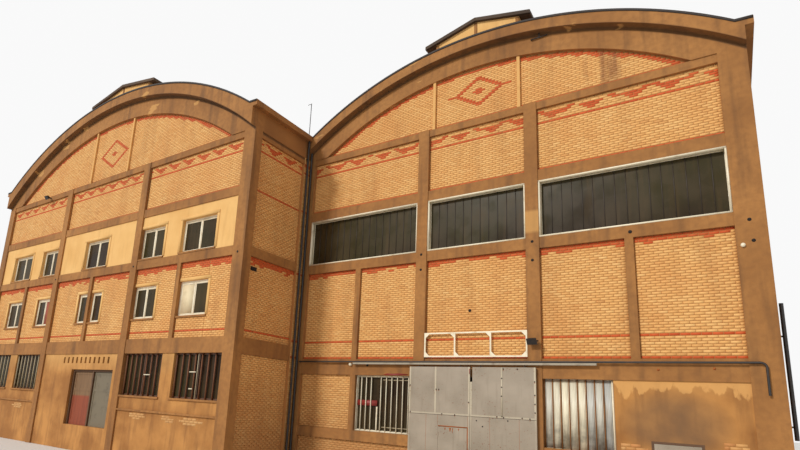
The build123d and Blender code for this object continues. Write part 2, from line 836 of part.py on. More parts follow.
def leaf_body(span):
    """A leaf: a steel sheet in front of a welded frame with an upright and a cross rail, and strips on its edges."""
    back = leaf_front + leaf_thickness
    height = (leaf_bottom, leaf_top)
    block(span, (leaf_front, back), height)
    middle = leaf_divider if span[0] < leaf_divider < span[1] else (span[0] + span[1]) / 2
    uprights = (span[0] + leaf_member, middle - leaf_member / 2, middle + leaf_member / 2, span[1] - leaf_member)
    rails = (leaf_bottom + leaf_member, leaf_joint - leaf_member / 2, leaf_joint + leaf_member / 2, leaf_top - leaf_member)
    for i in (0, 2):
        for j in (0, 2):
            hollow = (leaf_front + leaf_sheet, back + 1)
            block((uprights[i], uprights[i + 1]), hollow, (rails[j], rails[j + 1]), mode=Mode.SUBTRACT)
    strip = (leaf_front - strip_out, leaf_front + 1)
    block((span[0], span[0] + strip_width), strip, height)
    block((span[1] - strip_width, span[1]), strip, height)
    block(span, strip, (leaf_joint - strip_width / 2, leaf_joint + strip_width / 2))


with BuildPart() as left_leaf:
    with Locations(right_front):
        leaf_body((leaf_left, leaf_meeting - leaf_gap / 2))
        back = leaf_front + leaf_thickness
        rim = (wicket_opening[0] - leaf_member / 2, wicket_opening[1] + leaf_member / 2)
        block(rim, (leaf_front, back), (wicket_bottom - leaf_member, wicket_top + leaf_member))
        opening = (wicket_bottom - door_gap, wicket_top + door_gap)
        block(wicket_opening, (leaf_front - 1, back + 1), opening, mode=Mode.SUBTRACT)
        divider = (leaf_divider - strip_width / 2, leaf_divider + strip_width / 2)
        block(divider, (leaf_front - strip_out, leaf_front + 1), (leaf_joint, leaf_top))
    hinge(right_front, wicket[0] - door_gap / 2, leaf_front, -1, -1, wicket_hinges, False)

with BuildPart() as right_leaf:
    with Locations(right_front):
        leaf_body((leaf_meeting + leaf_gap / 2, leaf_right))
        back = leaf_front + leaf_thickness
        slot = (leaf_meeting, leaf_meeting + leaf_gap / 2 + slot_width)
        block(slot, (leaf_front - strip_out - 1, back + 1), (leaf_top - slot_height, leaf_top + 1), mode=Mode.SUBTRACT)


def hangers(positions):
    """The hangers of a leaf: a plate on its top edge, a bolt through the track's slot and a wheel in the track."""
    with Locations(right_front):
        wheel_centre = track_bottom + track_steel + rolling_gap + wheel_radius
        for at in positions:
            plate = (at - 60, at + 60)
            block(plate, (track_centre - 25, track_centre + 25), (leaf_top, leaf_top + hanger_plate))
            with Locations((at, track_centre, leaf_top + hanger_plate)):
                bolt = wheel_centre - leaf_top - hanger_plate
                Cylinder(hanger_radius, bolt, align=(Align.CENTER, Align.CENTER, Align.MIN))
            with Locations(Location((at, track_centre, wheel_centre), (90, 0, 0))):
                Cylinder(wheel_radius, wheel_width)


with BuildPart() as left_leaf_hangers:
    hangers((leaf_left + hanger_inset, leaf_meeting - hanger_inset))

with BuildPart() as right_leaf_hangers:
    hangers((leaf_meeting + hanger_inset, leaf_right - hanger_inset))

with BuildPart() as wicket_door:
    with Locations(right_front):
        block(wicket, (leaf_front, leaf_front + wicket_thickness), (wicket_bottom, wicket_top))
    hinge(right_front, wicket[0] - door_gap / 2, leaf_front, -1, 1, wicket_hinges, True)


def grip(at):
    """An upright pull handle on two short arms."""
    with Locations(right_front):
        out = leaf_front - grip_out
        with Locations((at, out, grip_height)):
            Cylinder(grip_radius, grip_length)
        for end in (-1, 1):
            height = grip_height + end * (grip_length / 2 - 2 * grip_radius)
            with Locations(Location((at, leaf_front - grip_out / 2, height), (90, 0, 0))):
                Cylinder(grip_radius * 0.8, grip_out)


with BuildPart() as wicket_grip:
    grip(wicket[1] - grip_from_edge)

with BuildPart() as leaf_grip:
    grip(leaf_meeting + grip_from_edge)

# Small door in its frame; it opens outwards
small_leaf_front = plaster_face - 10
small_hinge_at = small_door[1] + leaf_clearance / 2
with BuildPart() as small_door_frame_part:
    with Locations(right_front):
        front = (small_leaf_front + leaf_clearance, small_leaf_front + 100)
        block(small_doorway, front, (0, small_head))
        inside = (small_door[0] - leaf_clearance, small_door[1] + leaf_clearance)
        block(inside, (0, wall), (-1, small_door_top + leaf_clearance), mode=Mode.SUBTRACT)
    hinge(right_front, small_hinge_at, small_leaf_front, -1, 1, small_door_hinges, False, leaf_clearance)

with BuildPart() as small_door_leaf:
    with Locations(right_front):
        front = (small_leaf_front, small_leaf_front + small_door_thickness)
        block(small_door, front, (floor + leaf_clearance, small_door_top))
    hinge(right_front, small_hinge_at, small_leaf_front, -1, -1, small_door_hinges, True)

# Door of the left hall: two leaves that open inwards
gable_middle = (gable_door[0] + gable_door[1]) / 2
gable_hinges_at = (gable_door[0] - leaf_clearance / 2, gable_door[1] + leaf_clearance / 2)
gable_leaf_back = gable_door_at + gable_door_thickness
with BuildPart() as gable_door_frame_part:
    with Locations(left_front):
        front = (gable_leaf_back - gable_frame_depth, gable_leaf_back)
        block(gable_doorway, front, (gable_sill, gable_door_top + gable_door_frame))
        for side in (0, 1):
            light = (gable_door[0] - leaf_clearance, gable_middle - gable_door_frame / 2 + leaf_clearance)
            if side:
                light = (gable_middle + gable_door_frame / 2 - leaf_clearance, gable_door[1] + leaf_clearance)
            block(light, (0, wall), (gable_sill - 1, gable_door_top + leaf_clearance), mode=Mode.SUBTRACT)
    for at, holder in zip(gable_hinges_at, (-1, 1)):
        hinge(left_front, at, gable_leaf_back, 1, holder, gable_door_hinges, False)

gable_left_span = (gable_door[0], gable_middle - gable_door_frame / 2)
gable_right_span = (gable_middle + gable_door_frame / 2, gable_door[1])


def gable_leaf(span):
    """A framed leaf with a sunk panel above and below its lock rail."""
    front = (gable_door_at, gable_leaf_back)
    height = (gable_sill + leaf_clearance, gable_door_top)
    block(span, front, height)
    stile = 110
    lock_rail = gable_sill + 1500
    inside = (span[0] + stile, span[1] - stile)
    sunk = (gable_door_at - 1, gable_door_at + 15)
    block(inside, sunk, (height[0] + 2 * stile, lock_rail - stile / 2), mode=Mode.SUBTRACT)
    block(inside, sunk, (lock_rail + stile / 2, height[1] - stile), mode=Mode.SUBTRACT)


with BuildPart() as gable_left_leaf:
    with Locations(left_front):
        gable_leaf(gable_left_span)
    hinge(left_front, gable_hinges_at[0], gable_leaf_back, 1, 1, gable_door_hinges, True)

with BuildPart() as gable_right_leaf:
    with Locations(left_front):
        gable_leaf(gable_right_span)
    hinge(left_front, gable_hinges_at[1], gable_leaf_back, 1, -1, gable_door_hinges, True)

# Pipe along the right hall's front, with an elbow down at the corner column
pipe_start = right_shared_edge + 200
pipe_end = right_half - right_corner / 2
with BuildPart() as front_pipe:
    with BuildLine(Plane((right_centre, pipe_at, 0), x_dir=(1, 0, 0), z_dir=(0, -1, 0))) as route:
        FilletPolyline(
            (pipe_start, pipe_height), (pipe_end, pipe_height), (pipe_end, pipe_height - pipe_drop), radius=pipe_bend
        )
    with BuildSketch(Plane((right_centre + pipe_start, pipe_at, pipe_height), x_dir=(0, 1, 0), z_dir=(1, 0, 0))):
        Circle(pipe_radius)
    sweep(path=route.line)
    with Locations(right_front):
        for i in range(pipe_clips):
            at = pipe_start + pipe_clip_inset + i * (pipe_end - pipe_start - 2 * pipe_clip_inset) / (pipe_clips - 1)
            back = beam_face if all(abs(at - c) > 250 for c in (-right_column_at, right_column_at)) else 0
            block((at - 15, at + 15), (pipe_at + pipe_radius - 5, back), (pipe_height - 12, pipe_height + 12))

# Downpipes on the right side, each held by two clips: one on the far corner, two where the halls meet
eave_bottom = left_eave - eave_drop - eave_thickness
downpipes = (
    (right_outer, right_corner / 2, downpipe),
    (wall / 2, inner_pipe[0], (junction_pipe_foot, inner_pipe[1])),
    (wall / 2, outer_pipe_at, (junction_pipe_foot, eave_bottom)),
)
with BuildPart() as corner_downpipe:
    for seat, at, ends in downpipes:
        with Locations((seat + 2 * downpipe_radius, at, ends[0])):
            Cylinder(downpipe_radius, ends[1] - ends[0], align=(Align.CENTER, Align.CENTER, Align.MIN))
        for height in (ends[0] + downpipe_clip_above_foot, ends[1] - downpipe_clip_below_head):
            block((seat, seat + 2 * downpipe_radius), (at - 15, at + 15), (height - 20, height + 20))

# Sign frame between the middle columns: bare, with three fields and plates across some of their corners
sign_edges = [right_bays[1][0] + sign_member / 2, *sign_uprights, right_bays[1][1] - sign_member / 2]
sign_fields = [(sign_edges[i] + sign_member / 2, sign_edges[i + 1] - sign_member / 2) for i in range(3)]
sign_inside = (sign_frame[0] + sign_member, sign_frame[1] - sign_member)
sign_plates = (
    ("left foot", "left head", "right head"),
    ("left foot", "right head"),
    ("left foot", "right foot", "right head"),
)
with BuildPart() as sign_frame_part:
    with Locations(right_front):
        block(right_bays[1], (0, sign_member), sign_frame)
        for field in sign_fields:
            block(field, (-1, sign_member + 1), sign_inside, mode=Mode.SUBTRACT)
    with BuildSketch(elevation(right_front)):
        for field, plates in zip(sign_fields, sign_plates):
            for plate in plates:
                at_right = "right" in plate
                at_head = "head" in plate
                across = field[1] if at_right else field[0]
                up = sign_inside[1] if at_head else sign_inside[0]
                across_to = across - sign_gusset if at_right else across + sign_gusset
                up_to = up - sign_gusset if at_head else up + sign_gusset
                corners = [(across, up), (across_to, up), (across, up_to)]
                if at_right != at_head:
                    corners.reverse()
                Polygon(*corners, align=None)
    extrude(amount=-sign_gusset_steel)


def floodlight(face, at, height, back=0):
    """A tapered lamp housing, tilted down, on a bolt through a yoke at the end of a short arm."""
    side = lamp_width / 2
    pivot = -lamp_arm - lamp_depth / 2 - lamp_yoke
    small = (lamp_width * lamp_taper, lamp_height * lamp_taper)
    with Locations(face):
        block((at - 20, at + 20), (-lamp_arm, back), (height - 20, height + 20))
        block((at - side - lamp_yoke, at + side + lamp_yoke), (-lamp_arm - lamp_yoke, -lamp_arm), (height - 20, height + 20))
        for inner, outer in ((-side - lamp_yoke, -side), (side, side + lamp_yoke)):
            block((at + inner, at + outer), (pivot - 20, -lamp_arm), (height - 20, height + 20))
        with Locations(Location((at, pivot, height), (0, 90, 0))):
            Cylinder(8, lamp_width)
        with Locations(Location((at, pivot, height), (lamp_tilt, 0, 0))):
            Wedge(
                lamp_width - 4,
                lamp_depth,
                lamp_height,
                small[0],
                small[1],
                lamp_width - 4 - small[0],
                lamp_height - small[1],
            )


with BuildPart() as floodlights:
    floodlight(right_front, right_column_at, door_beam[1] + lamp_above_door_beam)
    floodlight(left_front, left_bays[0][0] + lamp_along_gable, (top_beam[0] + top_beam[1]) / 2, beam_face)

# The antenna stands on the flat eave beside the right hall's gable
antenna_across = wall / 2 + eave_out / 2
antenna_foot = left_eave - eave_drop * (eave_start + eave_out / 2) / (eave_start + eave_out)
with BuildPart() as antenna:
    with Locations((antenna_across, eave_end - antenna_inset, antenna_foot + antenna_seat)):
        Cylinder(antenna_radius, antenna_height, align=(Align.CENTER, Align.CENTER, Align.MIN))

with BuildPart() as cooling_unit:
    with Locations(left_front):
        start = -left_half - 150
        block((start, start + cooler[0]), (-cooler[1] - 60, -60), (cooler_bottom, cooler_bottom + cooler[2]))
        for at in (start + 250, start + 650):
            block((at - 20, at + 20), (-60, 0), (cooler_bottom, cooler_bottom + 40))

pieces = {
    "right_columns": right_columns,
    "right_beams": right_beams,
    "right_brick": right_brick,
    "right_plaster": right_plaster,
    "right_arches": right_arches,
    "right_roof": right_roof,
    "right_roof_edges": right_roof_edges,
    "left_columns": left_columns,
    "left_beams": left_beams,
    "left_brick_piers": left_brick_piers,
    "left_brick_spandrels": left_brick_spandrels,
    "left_plaster_piers": left_plaster_piers,
    "left_plaster_spandrels": left_plaster_spandrels,
    "left_plinth": left_plinth,
    "door_heads": door_heads,
    "vent_row": vent_row,
    "shared_wall": shared_wall,
    "left_arches": left_arches,
    "left_roof": left_roof,
    "left_roof_edges": left_roof_edges,
    "lunettes": lunettes,
    "lunette_ribs": ribs_of_lunettes,
    "monitor_walls": monitor_walls,
    "monitor_roofs": monitor_roofs,
    "window_frames": window_frames,
    "window_glass": window_glass,
    "window_sills": window_sills,
    "ground_floors": ground_floors,
    "left_upper_floors": left_upper_floors,
    "door_track": door_track,
    "left_leaf": left_leaf,
    "right_leaf": right_leaf,
    "left_leaf_hangers": left_leaf_hangers,
    "right_leaf_hangers": right_leaf_hangers,
    "wicket_door": wicket_door,
    "wicket_grip": wicket_grip,
    "leaf_grip": leaf_grip,
    "small_door_frame": small_door_frame_part,
    "small_door": small_door_leaf,
    "gable_door_frame": gable_door_frame_part,
    "gable_left_leaf": gable_left_leaf,
    "gable_right_leaf": gable_right_leaf,
    "front_pipe": front_pipe,
    "corner_downpipe": corner_downpipe,
    "sign_frame": sign_frame_part,
    "floodlights": floodlights,
    "antenna": antenna,
    "cooling_unit": cooling_unit,
}
for name, piece in pieces.items():
    piece.part.label = name
    export_step(piece.part, f"parts/{name}.step")
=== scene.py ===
import json
import math

import bpy
import numpy as np
from mathutils import Matrix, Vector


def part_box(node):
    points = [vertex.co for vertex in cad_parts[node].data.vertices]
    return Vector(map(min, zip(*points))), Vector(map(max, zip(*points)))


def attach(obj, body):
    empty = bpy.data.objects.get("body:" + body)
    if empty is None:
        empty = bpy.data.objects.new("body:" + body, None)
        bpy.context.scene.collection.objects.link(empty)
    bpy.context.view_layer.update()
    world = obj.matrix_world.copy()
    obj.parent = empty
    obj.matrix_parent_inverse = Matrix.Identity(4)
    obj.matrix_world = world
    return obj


# Looks of a factory of two barrel-roofed halls, in metres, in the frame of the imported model
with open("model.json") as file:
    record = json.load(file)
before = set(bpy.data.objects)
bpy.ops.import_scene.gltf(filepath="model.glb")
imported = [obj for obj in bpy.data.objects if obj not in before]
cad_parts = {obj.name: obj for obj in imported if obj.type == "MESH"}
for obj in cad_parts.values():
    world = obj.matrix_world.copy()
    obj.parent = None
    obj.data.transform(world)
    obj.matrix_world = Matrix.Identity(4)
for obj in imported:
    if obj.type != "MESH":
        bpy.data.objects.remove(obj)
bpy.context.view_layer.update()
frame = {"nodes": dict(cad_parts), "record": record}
nodes = frame["nodes"]

# Plan: the middle and half width of each hall, the left hall's front, the rear and the return wall's face
RIGHT_X = 7.345
RIGHT_HALF = 7.545
LEFT_X = -9.545
LEFT_HALF = 9.745
LEFT_Y = -3.34
DEPTH = 20.0
RETURN_X = 0.2

# Faces of a wall, as depths behind the face of its columns
BEAM_FACE = 0.03
PLASTER_FACE = 0.07
BRICK_FACE = 0.12
FRAME_FACE = 0.19
GLASS_FACE = 0.215

# Heights from and to: panels of brick, then windows. The arches spring from the wall top.
WALL_TOP = 12.41
RIGHT_UPPER = (10.06, 12.16)
LEFT_UPPER = (10.2, 12.16)
RIGHT_STOREY = (4.15, 7.5)
LEFT_STOREY = (4.61, 7.55)
RIBBON = (7.85, 9.69)
RIGHT_GROUND = (1.67, 3.58)
SECOND_LIGHTS = (7.98, 9.32)
FIRST_LIGHTS = (5.45, 6.8)
LEFT_GROUND = (2.4, 4.04)


def wall(x, y, forward, deep):
    """A wall: its origin on the ground, the direction along it and the direction inwards."""
    return np.array((x, y, 0)), np.array((*forward, 0)), np.array((*deep, 0))


RIGHT_FRONT = wall(RIGHT_X, 0, (1, 0), (0, 1))
LEFT_FRONT = wall(LEFT_X, LEFT_Y, (1, 0), (0, 1))
RETURN = wall(RETURN_X, 0, (0, 1), (-1, 0))
RIGHT_SIDE = wall(RIGHT_X + RIGHT_HALF, DEPTH / 2, (0, 1), (-1, 0))
LEFT_SIDE = wall(LEFT_X - LEFT_HALF, (LEFT_Y + DEPTH) / 2, (0, -1), (1, 0))
RIGHT_REAR = wall(RIGHT_X, DEPTH, (-1, 0), (0, -1))
LEFT_REAR = wall(LEFT_X, DEPTH, (-1, 0), (0, -1))


def linear(code):
    """sRGB hex code to linear RGBA: c / 12.92 up to 0.04045, else ((c + 0.055) / 1.055) to the power 2.4."""
    c = np.array([int(code[i : i + 2], 16) for i in (1, 3, 5)]) / 255
    c = np.where(c <= 0.04045, c / 12.92, ((c + 0.055) / 1.055) ** 2.4)
    return (*c.tolist(), 1.0)


def join(tree, node, inputs):
    """Gives a node its inputs, by name or number: each is a value or another node's output."""
    for key, value in inputs.items():
        if isinstance(value, bpy.types.NodeSocket):
            tree.links.new(value, node.inputs[key])
        else:
            node.inputs[key].default_value = value


def add(tree, kind, inputs, **settings):
    """Adds one node with its inputs and settings, and gives its outputs. A MapRange takes a value (0),
    the range it comes in (1, 2) and the range it goes out in (3, 4), and a Mix a share (0) and two
    colours (6, 7)."""
    node = tree.nodes.new("ShaderNode" + kind)
    for key, value in settings.items():
        setattr(node, key, value)
    join(tree, node, inputs)
    return node.outputs


def material(name):
    """A new material, its tree and the object's own coordinates."""
    m = bpy.data.materials.new(name)
    m.use_nodes = True
    return m, m.node_tree, add(m.node_tree, "TexCoord", {})["Object"]


def finish(m, colour, roughness, height=None, depth=0.0, strength=1.0, **others):
    """Joins colour, roughness and relief to the main shader. The relief is a height field, its depth in
    metres and its strength."""
    tree = m.node_tree
    inputs = {"Base Color": colour, "Roughness": roughness, **others}
    if height is not None:
        inputs["Normal"] = add(tree, "Bump", {"Height": height, "Distance": depth, "Strength": strength})[0]
    join(tree, tree.nodes["Principled BSDF"], inputs)
    return m


def grain(tree, coords, size, detail=3, stretch=(1, 1, 1)):
    """Noise whose grains are about size metres, stretched along the axes by the given factors."""
    scaled = add(tree, "Mapping", {"Vector": coords, "Scale": tuple(1 / k for k in stretch)})[0]
    return add(tree, "TexNoise", {"Vector": scaled, "Scale": 1 / size, "Detail": detail})["Fac"]


def coat(tree, under, over, field, low=0.0, high=1.0, share=1.0):
    """One colour over another: none of it where the field is low, up to the given share where it is high."""
    amount = add(tree, "MapRange", {0: field, 1: low, 2: high, 4: share})[0]
    return add(tree, "Mix", {0: amount, 6: under, 7: over}, data_type="RGBA")[2]


def all_of(tree, mask, *others):
    """The product of some masks: 1 where every one of them is 1."""
    for other in others:
        mask = add(tree, "Math", {0: mask, 1: other}, operation="MULTIPLY")[0]
    return mask


def band(tree, value, low, high, soft=0.004):
    """1 where the value lies between low and high, with soft ends."""
    rise = add(tree, "MapRange", {0: value, 1: low - soft, 2: low + soft})[0]
    fall = add(tree, "MapRange", {0: value, 1: high - soft, 2: high + soft, 3: 1, 4: 0})[0]
    return all_of(tree, rise, fall)


def square_reach(tree, axes, centre, radii=(1, 1)):
    """The square of how far two coordinates are from a centre, each counted in its own radius."""
    squares = []
    for value, middle, radius in zip(axes, centre, radii):
        offset = add(tree, "Math", {0: value, 1: middle}, operation="SUBTRACT")[0]
        share = add(tree, "Math", {0: offset, 1: radius}, operation="DIVIDE")[0]
        squares.append(add(tree, "Math", {0: share, 1: share}, operation="MULTIPLY")[0])
    return add(tree, "Math", dict(enumerate(squares)), operation="ADD")[0]


def near(tree, axes, centre, radii):
    """1 at a place, falling to 0 at the edge of an ellipse of two radii."""
    return add(tree, "MapRange", {0: square_reach(tree, axes, centre, radii), 1: 0.25, 2: 1.0, 3: 1, 4: 0})[0]


# Pores, sand and slate grit are 1 to 5 mm wide in fact. They are drawn coarser, so that they show at all.
PORES = 0.025
GRIT = 0.02

# Upper edge of each hall's arch, under which a shadow line is painted: middle, crown and radius, and the test
# that keeps to its side of the shared wall
ARCH_EDGES = ((RIGHT_X, 15.06, 12.1, "GREATER_THAN"), (LEFT_X, 16.0, 15.054, "LESS_THAN"))


def limewashed_concrete():
    """Cast concrete under an ochre limewash: matt, blotched, with runs of soot below each ledge, and on each
    arch a dark line painted under its roof edge as the shadow that the edge casts, along a circle round a
    point on the hall's middle.
    The wash has come off in flakes along the arches, and one column has a pale new patch."""
    m, tree, coords = material("limewashed_cast_concrete")
    x, y, z = add(tree, "SeparateXYZ", {0: coords})
    large = grain(tree, coords, 2.4, 4)
    fine = grain(tree, coords, 0.16, 6)
    runs = grain(tree, coords, 0.35, 4, (1, 1, 9))
    pores = grain(tree, coords, PORES)
    ragged = grain(tree, coords, 0.9, 7, (1.6, 1, 0.6))
    colour = coat(tree, linear("#94622F"), linear("#AC763D"), large, 0.35, 0.65)
    colour = coat(tree, colour, linear("#7A4F27"), fine, 0.4, 0.75, 0.45)
    colour = coat(tree, colour, linear("#624124"), runs, 0.5, 0.72, 0.6)
    for middle, crown, radius, side in ARCH_EDGES:
        squares = square_reach(tree, (x, z), (middle, crown - radius))
        reach = add(tree, "Math", {0: squares}, operation="SQRT")[0]
        own_side = add(tree, "Math", {0: x, 1: RETURN_X}, operation=side)[0]
        # Painted shadow: a dark band just inside the arch's upper edge, where the roof edge overhangs it
        painted_shadow_line = all_of(tree, band(tree, reach, radius - 0.1, radius + 0.01, 0.02), own_side)
        colour = coat(tree, colour, linear("#3E2815"), painted_shadow_line, share=0.7)
    flaked = add(tree, "MapRange", {0: ragged, 1: 0.64, 2: 0.66})[0]
    on_arches = add(tree, "MapRange", {0: z, 1: 13.0, 2: 13.4})[0]
    in_front = add(tree, "MapRange", {0: y, 1: 0.2, 2: 0.5, 3: 1, 4: 0})[0]
    patch = all_of(tree, band(tree, x, 9.02, 9.44), band(tree, z, 8.02, 8.72, 0.05), in_front)
    bare = add(tree, "Math", {0: all_of(tree, flaked, on_arches), 1: patch}, operation="MAXIMUM")[0]
    colour = coat(tree, colour, linear("#DDA760"), bare, share=0.5)
    height = add(tree, "Math", {0: pores, 1: 0.3, 2: fine}, operation="MULTIPLY_ADD")[0]
    return finish(m, colour, 0.86, height, 0.012, 0.5)


def stained_plaster():
    """Lime plaster, cream on the upper floors, browner and blotched with damp towards the ground. Beside
    the small door its pale upper coat ends in tongues under the beam, and a grey cloud of dirt lies in
    the middle."""
    m, tree, coords = material("stained_lime_plaster")
    x, _, z = add(tree, "SeparateXYZ", {0: coords})
    large = grain(tree, coords, 1.3, 5)
    runs = grain(tree, coords, 0.22, 4, (1, 1, 7))
    tongues = grain(tree, coords, 0.3, 6, (1, 1, 2.2))
    cream = coat(tree, linear("#ECBC76"), linear("#DDA962"), large, 0.35, 0.7)
    cream = coat(tree, cream, linear("#BC8748"), runs, 0.55, 0.8, 0.35)
    low = coat(tree, linear("#C48A49"), linear("#9C6731"), large, 0.36, 0.62)
    low = coat(tree, low, linear("#764B26"), runs, 0.5, 0.75, 0.5)
    colour = coat(tree, low, cream, z, 3.2, 5.2)
    right = add(tree, "MapRange", {0: x, 1: 11.0, 2: 11.2})[0]
    edge = add(tree, "Math", {0: tongues, 1: 1.1, 2: z}, operation="MULTIPLY_ADD")[0]
    hanging = add(tree, "MapRange", {0: edge, 1: 3.86, 2: 3.92})[0]
    colour = coat(tree, colour, linear("#DFA660"), all_of(tree, hanging, right), share=0.65)
    uneven = add(tree, "MapRange", {0: large, 1: 0.3, 2: 0.6, 3: 0.4, 4: 1})[0]
    cloud = all_of(tree, near(tree, (x, z), (12.6, 2.5), (1.3, 0.9)), uneven)
    colour = coat(tree, colour, linear("#74563A"), cloud, share=0.85)
    height = add(tree, "Math", {0: grain(tree, coords, GRIT), 1: 0.25, 2: large}, operation="MULTIPLY_ADD")[0]
    return finish(m, colour, 0.9, height, 0.01, 0.5)


# Bricks are 220 x 65 mm with joints of 10 mm; the red courses run from and to these heights
BRICK_LONG = 0.22
BRICK_HIGH = 0.065
JOINT = 0.010
BRICK_STEP = BRICK_LONG + JOINT
COURSE = BRICK_HIGH + JOINT
RED_LINES = ((4.15, 4.225), (4.76, 4.85), (7.42, 7.50), (10.06, 10.13), (11.70, 11.775), (12.02, 12.16))


def fired_colour(tree, coords, tone, red):
    """The colour of fired brick: cream with a tone for each brick, red where the ornament says so, sooty in
    runs, smoked beside the crown of the right gable, and browner towards the ground storey, partly from
    splashed dirt and partly as painted shade."""
    x, y, z = add(tree, "SeparateXYZ", {0: coords})
    cream = add(tree, "ValToRGB", {0: tone})[0]
    ramp = cream.node.color_ramp
    ramp.elements[0].color = linear("#D09352")
    ramp.elements[1].color = linear("#F0BE78")
    middle = ramp.elements.new(0.45)
    middle.color = linear("#E6AC64")
    warm = coat(tree, cream, linear("#DB9650"), grain(tree, coords, 1.5), 0.45, 0.7, 0.5)
    reds = coat(tree, linear("#B9430F"), linear("#D9622A"), tone)
    colour = coat(tree, warm, reds, red)
    soot = grain(tree, coords, 0.5, 5, (1, 1, 6))
    colour = coat(tree, colour, linear("#A8713C"), soot, 0.5, 0.8, 0.4)
    streaks = add(tree, "MapRange", {0: grain(tree, coords, 0.3, 3, (1, 1, 6)), 1: 0.42, 2: 0.6})[0]
    in_front = add(tree, "MapRange", {0: y, 1: 0.3, 2: 0.6, 3: 0.75, 4: 0})[0]
    smoke = all_of(tree, near(tree, (x, z), (11.5, 13.15), (0.7, 0.9)), in_front, streaks)
    colour = coat(tree, colour, linear("#8A5430"), smoke)
    # Browner downwards from 3.7 m: partly splashed dirt, partly painted shade on the ground storey
    return coat(tree, colour, linear("#8C5A30"), z, 3.7, 1.0, 0.55)


def laid_brick():
    """Single bricks: each face carries its own tone, and red marks the ornament."""
    m, tree, coords = material("cream_facing_brick")
    tone = add(tree, "Attribute", {}, attribute_name="tone")["Fac"]
    red = add(tree, "Attribute", {}, attribute_name="red")["Fac"]
    skin = grain(tree, coords, GRIT, 4)
    return finish(m, fired_colour(tree, coords, tone, red), 0.78, skin, 0.003, 0.6)


def bonded_brick():
    """Brickwork seen whole, for the sides and the rear: half bond with the same courses, joints sunk 6
    mm. Behind the single bricks of the front walls it is plain mortar."""
    m, tree, coords = material("cream_brick_in_half_bond")
    x, y, z = add(tree, "SeparateXYZ", {0: coords})
    facing = add(tree, "SeparateXYZ", {0: add(tree, "NewGeometry", {})["Normal"]})
    slant = add(tree, "Math", {0: facing[0]}, operation="ABSOLUTE")[0]
    sideways = add(tree, "Math", {0: slant, 1: 0.5}, operation="GREATER_THAN")[0]
    along = add(tree, "Mix", {0: sideways, 2: x, 3: y}, data_type="FLOAT")[0]
    laid = {
        "Vector": add(tree, "CombineXYZ", {0: along, 1: z})[0],
        "Color1": (0, 0, 0, 1),
        "Color2": (1, 1, 1, 1),
        "Mortar": (0.5, 0.5, 0.5, 1),
        "Scale": 1.0,
        "Mortar Size": JOINT / 2,
        "Mortar Smooth": 0.1,
        "Brick Width": BRICK_STEP,
        "Row Height": COURSE,
    }
    bricks = add(tree, "TexBrick", laid, offset=0.5)
    tone = add(tree, "SeparateColor", {0: bricks["Color"]})[0]
    red = band(tree, z, *RED_LINES[0])
    for line in RED_LINES[1:]:
        red = add(tree, "Math", {0: red, 1: band(tree, z, *line)}, operation="MAXIMUM")[0]
    colour = fired_colour(tree, coords, tone, red)
    forwards = add(tree, "Math", {0: facing[1], 1: -0.5}, operation="LESS_THAN")[0]
    in_front = add(tree, "Math", {0: y, 1: 0.5}, operation="LESS_THAN")[0]
    rightwards = add(tree, "Math", {0: facing[0], 1: 0.5}, operation="GREATER_THAN")[0]
    on_return = add(tree, "Math", {0: x, 1: 0.15}, operation="LESS_THAN")[0]
    front = all_of(tree, forwards, in_front)
    turned = all_of(tree, rightwards, on_return)
    bed = add(tree, "Math", {0: front, 1: turned}, operation="MAXIMUM")[0]
    bed = add(tree, "Math", {0: bed, 1: bricks["Fac"]}, operation="MAXIMUM")[0]
    colour = coat(tree, colour, linear("#B27A42"), bed)
    height = add(tree, "Math", {0: 1.0, 1: bed}, operation="SUBTRACT")[0]
    return finish(m, colour, 0.82, height, 0.006, 0.8)


def door_sheet():
    """Taupe oil paint on steel sheet: half matt, chalky, with rust in spots, and paler on the raised edge
    strips. The strips grow paler still towards their upper part, as painted sunlight on the top of the
    leaves."""
    m, tree, coords = material("chalked_paint_on_steel_sheet")
    _, y, z = add(tree, "SeparateXYZ", {0: coords})
    large = grain(tree, coords, 0.9, 5)
    runs = grain(tree, coords, 0.12, 4, (1, 1, 10))
    spots = grain(tree, coords, 0.05, 6)
    colour = coat(tree, linear("#A39480"), linear("#8E806C"), large, 0.35, 0.7)
    colour = coat(tree, colour, linear("#74654F"), runs, 0.56, 0.8, 0.4)
    # Painted light: the pale share of the raised strips grows with height, as on the sunlit top of the leaves
    painted_light_above = add(tree, "MapRange", {0: z, 1: 2.2, 2: 2.6, 3: 0.15, 4: 0.6})[0]
    raised = all_of(tree, band(tree, y, -0.13, -0.1145, 0.001), painted_light_above)
    colour = coat(tree, colour, linear("#D0C2A4"), raised)
    pitted = add(tree, "MapRange", {0: spots, 1: 0.62, 2: 0.7})[0]
    damp = add(tree, "MapRange", {0: large, 1: 0.45, 2: 0.6})[0]
    rust = all_of(tree, pitted, damp)
    colour = coat(tree, colour, linear("#7C3F1C"), rust)
    roughness = add(tree, "MapRange", {0: rust, 3: 0.5, 4: 0.85})[0]
    height = add(tree, "Math", {0: spots, 1: 0.2, 2: large}, operation="MULTIPLY_ADD")[0]
    return finish(m, colour, roughness, height, 0.006, 0.4)


def painted(name, code, worn, roughness=0.45, size=0.3):
    """Paint on metal or wood: an even coat, worn through to a second colour in patches."""
    m, tree, coords = material(name)
    patches = grain(tree, coords, size, 6)
    runs = grain(tree, coords, 0.06, 4, (1, 1, 8))
    colour = coat(tree, linear(code), linear(worn), patches, 0.55, 0.72, 0.6)
    colour = coat(tree, colour, linear(worn), runs, 0.55, 0.8, 0.35)
    return finish(m, colour, roughness, patches, 0.002, 0.4)


